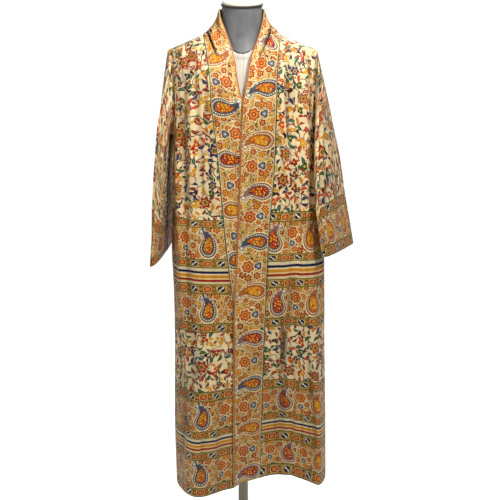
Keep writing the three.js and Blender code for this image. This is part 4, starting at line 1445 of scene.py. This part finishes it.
def silk_material(name, paint, *details):
    """Printed silk.  paint(graph, place, *details) returns the print's colour."""
    material, graph, shader = new_material(name, {"Specular IOR Level": 0.3, "Sheen Weight": 0.04})
    place = graph.out(0, "ShaderNodeUVMap", uv_map="Print")
    color = paint(graph, place, *details)
    # The crease mask feeds the painted shade in the Silk group.
    wrong, fold = graph.attribute("wrong_side"), graph.attribute("fold")
    finish = graph.group("Silk", Vector=place, Color=color, Wrong_side=wrong, Fold=fold)
    surface(graph, shader, finish["Color"], finish["Height"], 1.0, 0.001)
    graph.feed(shader.inputs["Roughness"], finish["Roughness"])
    return material


def cover_material(name, color, soiled, roughness, threads, seam=False):
    """A cloth cover of the form, with a centre seam down its front where seam is set."""
    material, graph, shader = new_material(name, {"Roughness": roughness, "Sheen Weight": 0.15})
    place = graph.out("Object", "ShaderNodeTexCoord")
    weave = graph.group("Plain weave", Vector=place, Color=color, Soiled=linear(soiled), Threads=threads)
    color = weave["Color"]
    if seam:
        x, y, _ = graph.split(place)
        line = abs(x - 0.003) + graph.math("MAXIMUM", y, 0.0)
        color = graph.mix(graph.below(line, 0.0011, 0.0006) * 0.55, color, linear("77746e"))
    surface(graph, shader, color, weave["Height"], 0.3, 0.0005)
    return material


def stand_material(color):
    """The pole's and the base's paint, a little worn."""
    material, graph, shader = new_material("Stand paint", {"Metallic": 0.25})
    wear = graph.noise(graph.out("Object", "ShaderNodeTexCoord"), 60.0, 4.0)
    surface(graph, shader, graph.mix(wear, color, linear("aea391")), wear, 0.1, 0.0003)
    graph.feed(shader.inputs["Roughness"], graph.line(wear, 0.2, 0.3))
    return material


def print_materials(cream, gold):
    """The prints of the robe by name, for the panels and sleeves with their own repeats of the paisleys."""
    flower_group()
    leaf_group()
    paisley_group()
    ground_group(gold)
    silk_group()
    prints = {
        "trail": silk_material("Silk with trailing flowers", trail_print, cream),
        "edging": silk_material("Silk edging", edging_print),
        "stripes": silk_material("Silk stripes", stripes_print),
        "band": silk_material("Silk neck band", band_print),
    }
    return {
        side: {**prints, "paisleys": silk_material(f"Silk with paisleys {side}", paisleys_print, *layout)}
        for side, layout in PAISLEYS.items()
    }


# ---- Settings, operators and the panel ---------------------------------------------------------------
def length_setting(name, description, default, low=0.0, high=10.0):
    """A length in metres."""
    return bpy.props.FloatProperty(
        name=name, description=description, default=default, min=low, max=high, precision=4, unit="LENGTH"
    )


def color_setting(name, description, code):
    return bpy.props.FloatVectorProperty(
        name=name, description=description, default=linear(code), size=4, min=0.0, max=1.0, subtype="COLOR"
    )


class RobeSettings(bpy.types.PropertyGroup):
    cloth: length_setting("Silk", "Thickness of the single silk", 0.0015, 0.001, 0.003)
    band: length_setting("Neck band", "Thickness of the folded neck band", 0.0024, 0.001, 0.003)
    gap: length_setting("Seam gap", "Gap between two pieces at a seam", 0.0003, 0.0001, 0.001)
    creases: bpy.props.FloatProperty(
        name="Creases",
        description="How deep the creases are pressed, 1 being as tabled",
        default=1.25,
        min=0.0,
        max=2.0,
    )
    cream: color_setting("Cream", "Ground of the trailing flowers", "f0daaa")
    gold: color_setting("Gold", "Ground of the close little flowers", "d2a54a")


class FormSettings(bpy.types.PropertyGroup):
    linen: color_setting("Linen", "Cover of the torso", "d2ccc6")
    neck: color_setting("Neck cover", "Smooth cover of the neck", "86888b")
    cap: color_setting("Cap linen", "Cover of the neck's cap", "f4efe2")
    stand: color_setting("Stand", "Paint of the pole and the base", "c9bfae")


class StudioSettings(bpy.types.PropertyGroup):
    distance: length_setting("Distance", "From the camera to the robe's axis", 2.9)
    height: length_setting("Height", "Height of the camera", 1.48)
    aside: length_setting("Aside", "How far the camera stands to +X", 0.02, -10.0)
    pitch: bpy.props.FloatProperty(
        name="Pitch", description="How far the camera looks down", default=math.radians(12), subtype="ANGLE"
    )
    lens: bpy.props.FloatProperty(
        name="Lens",
        description="Focal length on a 36 mm sensor, in millimetres",
        default=75.67,
        unit="CAMERA",
    )


# The sheets of silk: the side whose paisleys each one has, its slot, and the size that it was cut to.
SHEETS = {
    "back": ("back", "robe_panel", (0.57, 1.36)),
    "front_right": ("right", "robe_panel", (0.25, 1.36)),
    "front_left": ("left", "robe_panel", (0.25, 1.36)),
    "band_right": ("right", "robe_band", (0.1, 1.34)),
    "band_left": ("left", "robe_band", (0.1, 1.34)),
    "collar_back": ("back", "robe_band", (0.25, 0.09)),
    "sleeve_right": ("sleeve", "robe_sleeve", (0.71, 0.45)),
    "sleeve_left": ("sleeve", "robe_sleeve", (0.71, 0.45)),
}


class ROBE_OT_build(bpy.types.Operator):
    """Cuts and hangs the eight silk pieces of the robe"""

    bl_idname = "robe.build"
    bl_label = "Build robe"

    def execute(self, context):
        settings = context.scene.robe_settings
        materials = print_materials(tuple(settings.cream), tuple(settings.gold))
        cloth, band, gap = (value / MM for value in (settings.cloth, settings.band, settings.gap))
        for wall in robe_walls({"panel": cloth, "band": band}, gap, settings.creases):
            side, slot_name, flat = SHEETS[wall.name]
            piece = wall.build(materials[side])
            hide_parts(wall.name)
            piece.name = f"silk_{wall.name}"
        return {"FINISHED"}


class ROBE_OT_form(bpy.types.Operator):
    """Builds the limbless form with its neck, cap, pole and base"""

    bl_idname = "robe.form"
    bl_label = "Build form"

    def execute(self, context):
        cover_group()
        colors = context.scene.robe_form
        linen = cover_material("Linen", tuple(colors.linen), "c6beb2", 0.85, 900.0, seam=True)
        grey = cover_material("Grey cover", tuple(colors.neck), "606267", 0.45, 700.0, seam=True)
        cap = cover_material("Cap linen", tuple(colors.cap), "e2d8c2", 0.85, 900.0)
        dark = cover_material("Dark rim", linear("100e0b"), "3a352c", 0.6, 700.0)
        paint = stand_material(tuple(colors.stand))
        pole = [(POLE["radius"], POLE["bottom"]), (POLE["radius"], POLE["top"])]
        for piece, node, slot_name, material in (
            (loft("torso", TORSO, 60), "form_torso", "form_linen", linen),
            (loft("neck", NECK, 30), "form_neck", "form_neck_cloth", grey),
            (loft("neck_rim", NECK_RIM, 10), "form_neck", "form_neck_cloth", dark),
            (loft("neck_cap", NECK_CAP, 12), "form_neck_cap", "form_cap_linen", cap),
            (turned("pole", pole, POLE_SIDES), "form_pole", "stand_paint", paint),
            (turned("base", BASE, FORM_SIDES), "form_base", "stand_paint", paint),
        ):
            piece.data.materials.append(material)
            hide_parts(node)
        return {"FINISHED"}


# The soft lights: where each stands, what it looks at, its size in metres, its power in watts, how far it
# spreads in degrees, and its tint.
LIGHTS = (
    ("Key", (0.95, -1.95, 2.9), (0, 0, 1.38), 0.5, 8.0, 68, (1, 0.95, 0.87)),
    ("Fill", (-2.1, -1.9, 2.6), (0, 0, 1.0), 0.9, 4.6, 74, (1, 0.97, 0.91)),
    ("Rear", (0.5, 2.7, 2.7), (0, 0.9, 0.2), 2.2, 50, 180, (1, 1, 1)),
    ("Top", (0.4, -0.5, 2.9), (0.1, 0, 1.4), 0.6, 7, 100, (1, 0.97, 0.92)),
)
FLOOR_SIZE = 3.6
WHITE = (1, 1, 1, 1)


class ROBE_OT_studio(bpy.types.Operator):
    """Sets up the camera, the pale floor and the soft lights"""

    bl_idname = "robe.studio"
    bl_label = "Build studio"

    def execute(self, context):
        scene = context.scene
        self.set_camera(scene, scene.robe_studio)
        self.lay_floor(scene)
        for light in LIGHTS:
            self.hang_light(scene, *light)
        world = bpy.data.worlds.new("Studio")
        world.use_nodes = True
        sky = Graph(world.node_tree)
        background = world.node_tree.nodes["Background"]
        background.inputs["Color"].default_value = WHITE
        seen = sky.out("Is Camera Ray", "ShaderNodeLightPath")
        sky.feed(background.inputs["Strength"], sky.line(seen, 0.95, 0.1))
        scene.world = world
        scene.view_settings.view_transform = "Standard"
        return {"FINISHED"}

    def set_camera(self, scene, settings):
        lens = bpy.data.cameras.new("Camera")
        lens.lens = settings.lens
        lens.sensor_width = 36
        lens.clip_end = 60
        camera = bpy.data.objects.new("Camera", lens)
        camera.location = (settings.aside, -settings.distance, settings.height)
        camera.rotation_euler = (math.pi / 2 - settings.pitch, 0, 0)
        scene.collection.objects.link(camera)
        scene.camera = camera

    def lay_floor(self, scene):
        size = FLOOR_SIZE
        mesh = bpy.data.meshes.new("floor")
        corners = [(-size, -size, 0), (size, -size, 0), (size, size, 0), (-size, size, 0)]
        mesh.from_pydata(corners, [], [(0, 1, 2, 3)])
        floor = bpy.data.objects.new("floor", mesh)
        scene.collection.objects.link(floor)
        material, graph, shader = new_material("Pale floor", {"Roughness": 0.9, "Emission Color": WHITE})
        grain = graph.noise(graph.out("Object", "ShaderNodeTexCoord"), 3.0)
        graph.feed(shader.inputs["Base Color"], graph.mix(grain, linear("e4e4e4"), linear("dedede")))
        seen = graph.out("Is Camera Ray", "ShaderNodeLightPath")
        graph.feed(shader.inputs["Emission Strength"], graph.line(seen, 0.6, 0.25))
        mesh.materials.append(material)

    def hang_light(self, scene, name, place, aim, size, power, spread, tint):
        light = bpy.data.lights.new(name, "AREA")
        light.shape = "DISK"
        light.size = size
        light.energy = power
        light.color = tint
        light.spread = math.radians(spread)
        lamp = bpy.data.objects.new(name, light)
        lamp.location = place
        x, y, z = np.array(place) - np.array(aim)
        lamp.rotation_euler = (math.atan2(np.hypot(x, y), z), 0, math.atan2(x, -y))
        scene.collection.objects.link(lamp)


class ROBE_PT_panel(bpy.types.Panel):
    bl_idname = "ROBE_PT_panel"
    bl_label = "Robe"
    bl_space_type = "VIEW_3D"
    bl_region_type = "UI"
    bl_category = "Robe"

    def draw(self, context):
        scene = context.scene
        for settings, operator in (
            (scene.robe_studio, ROBE_OT_studio),
            (scene.robe_settings, ROBE_OT_build),
            (scene.robe_form, ROBE_OT_form),
        ):
            for name in settings.__annotations__:
                self.layout.prop(settings, name)
            self.layout.operator(operator.bl_idname)


SETTINGS = {"robe_settings": RobeSettings, "robe_form": FormSettings, "robe_studio": StudioSettings}
CLASSES = (*SETTINGS.values(), ROBE_OT_build, ROBE_OT_form, ROBE_OT_studio, ROBE_PT_panel)


def register():
    for cls in CLASSES:
        bpy.utils.register_class(cls)
    for name, group in SETTINGS.items():
        setattr(bpy.types.Scene, name, bpy.props.PointerProperty(type=group))


def unregister():
    for name in SETTINGS:
        delattr(bpy.types.Scene, name)
    for cls in reversed(CLASSES):
        bpy.utils.unregister_class(cls)


def main():
    register()
    bpy.ops.robe.studio()
    bpy.ops.robe.build()
    bpy.ops.robe.form()


if __name__ == "__main__":
    main()
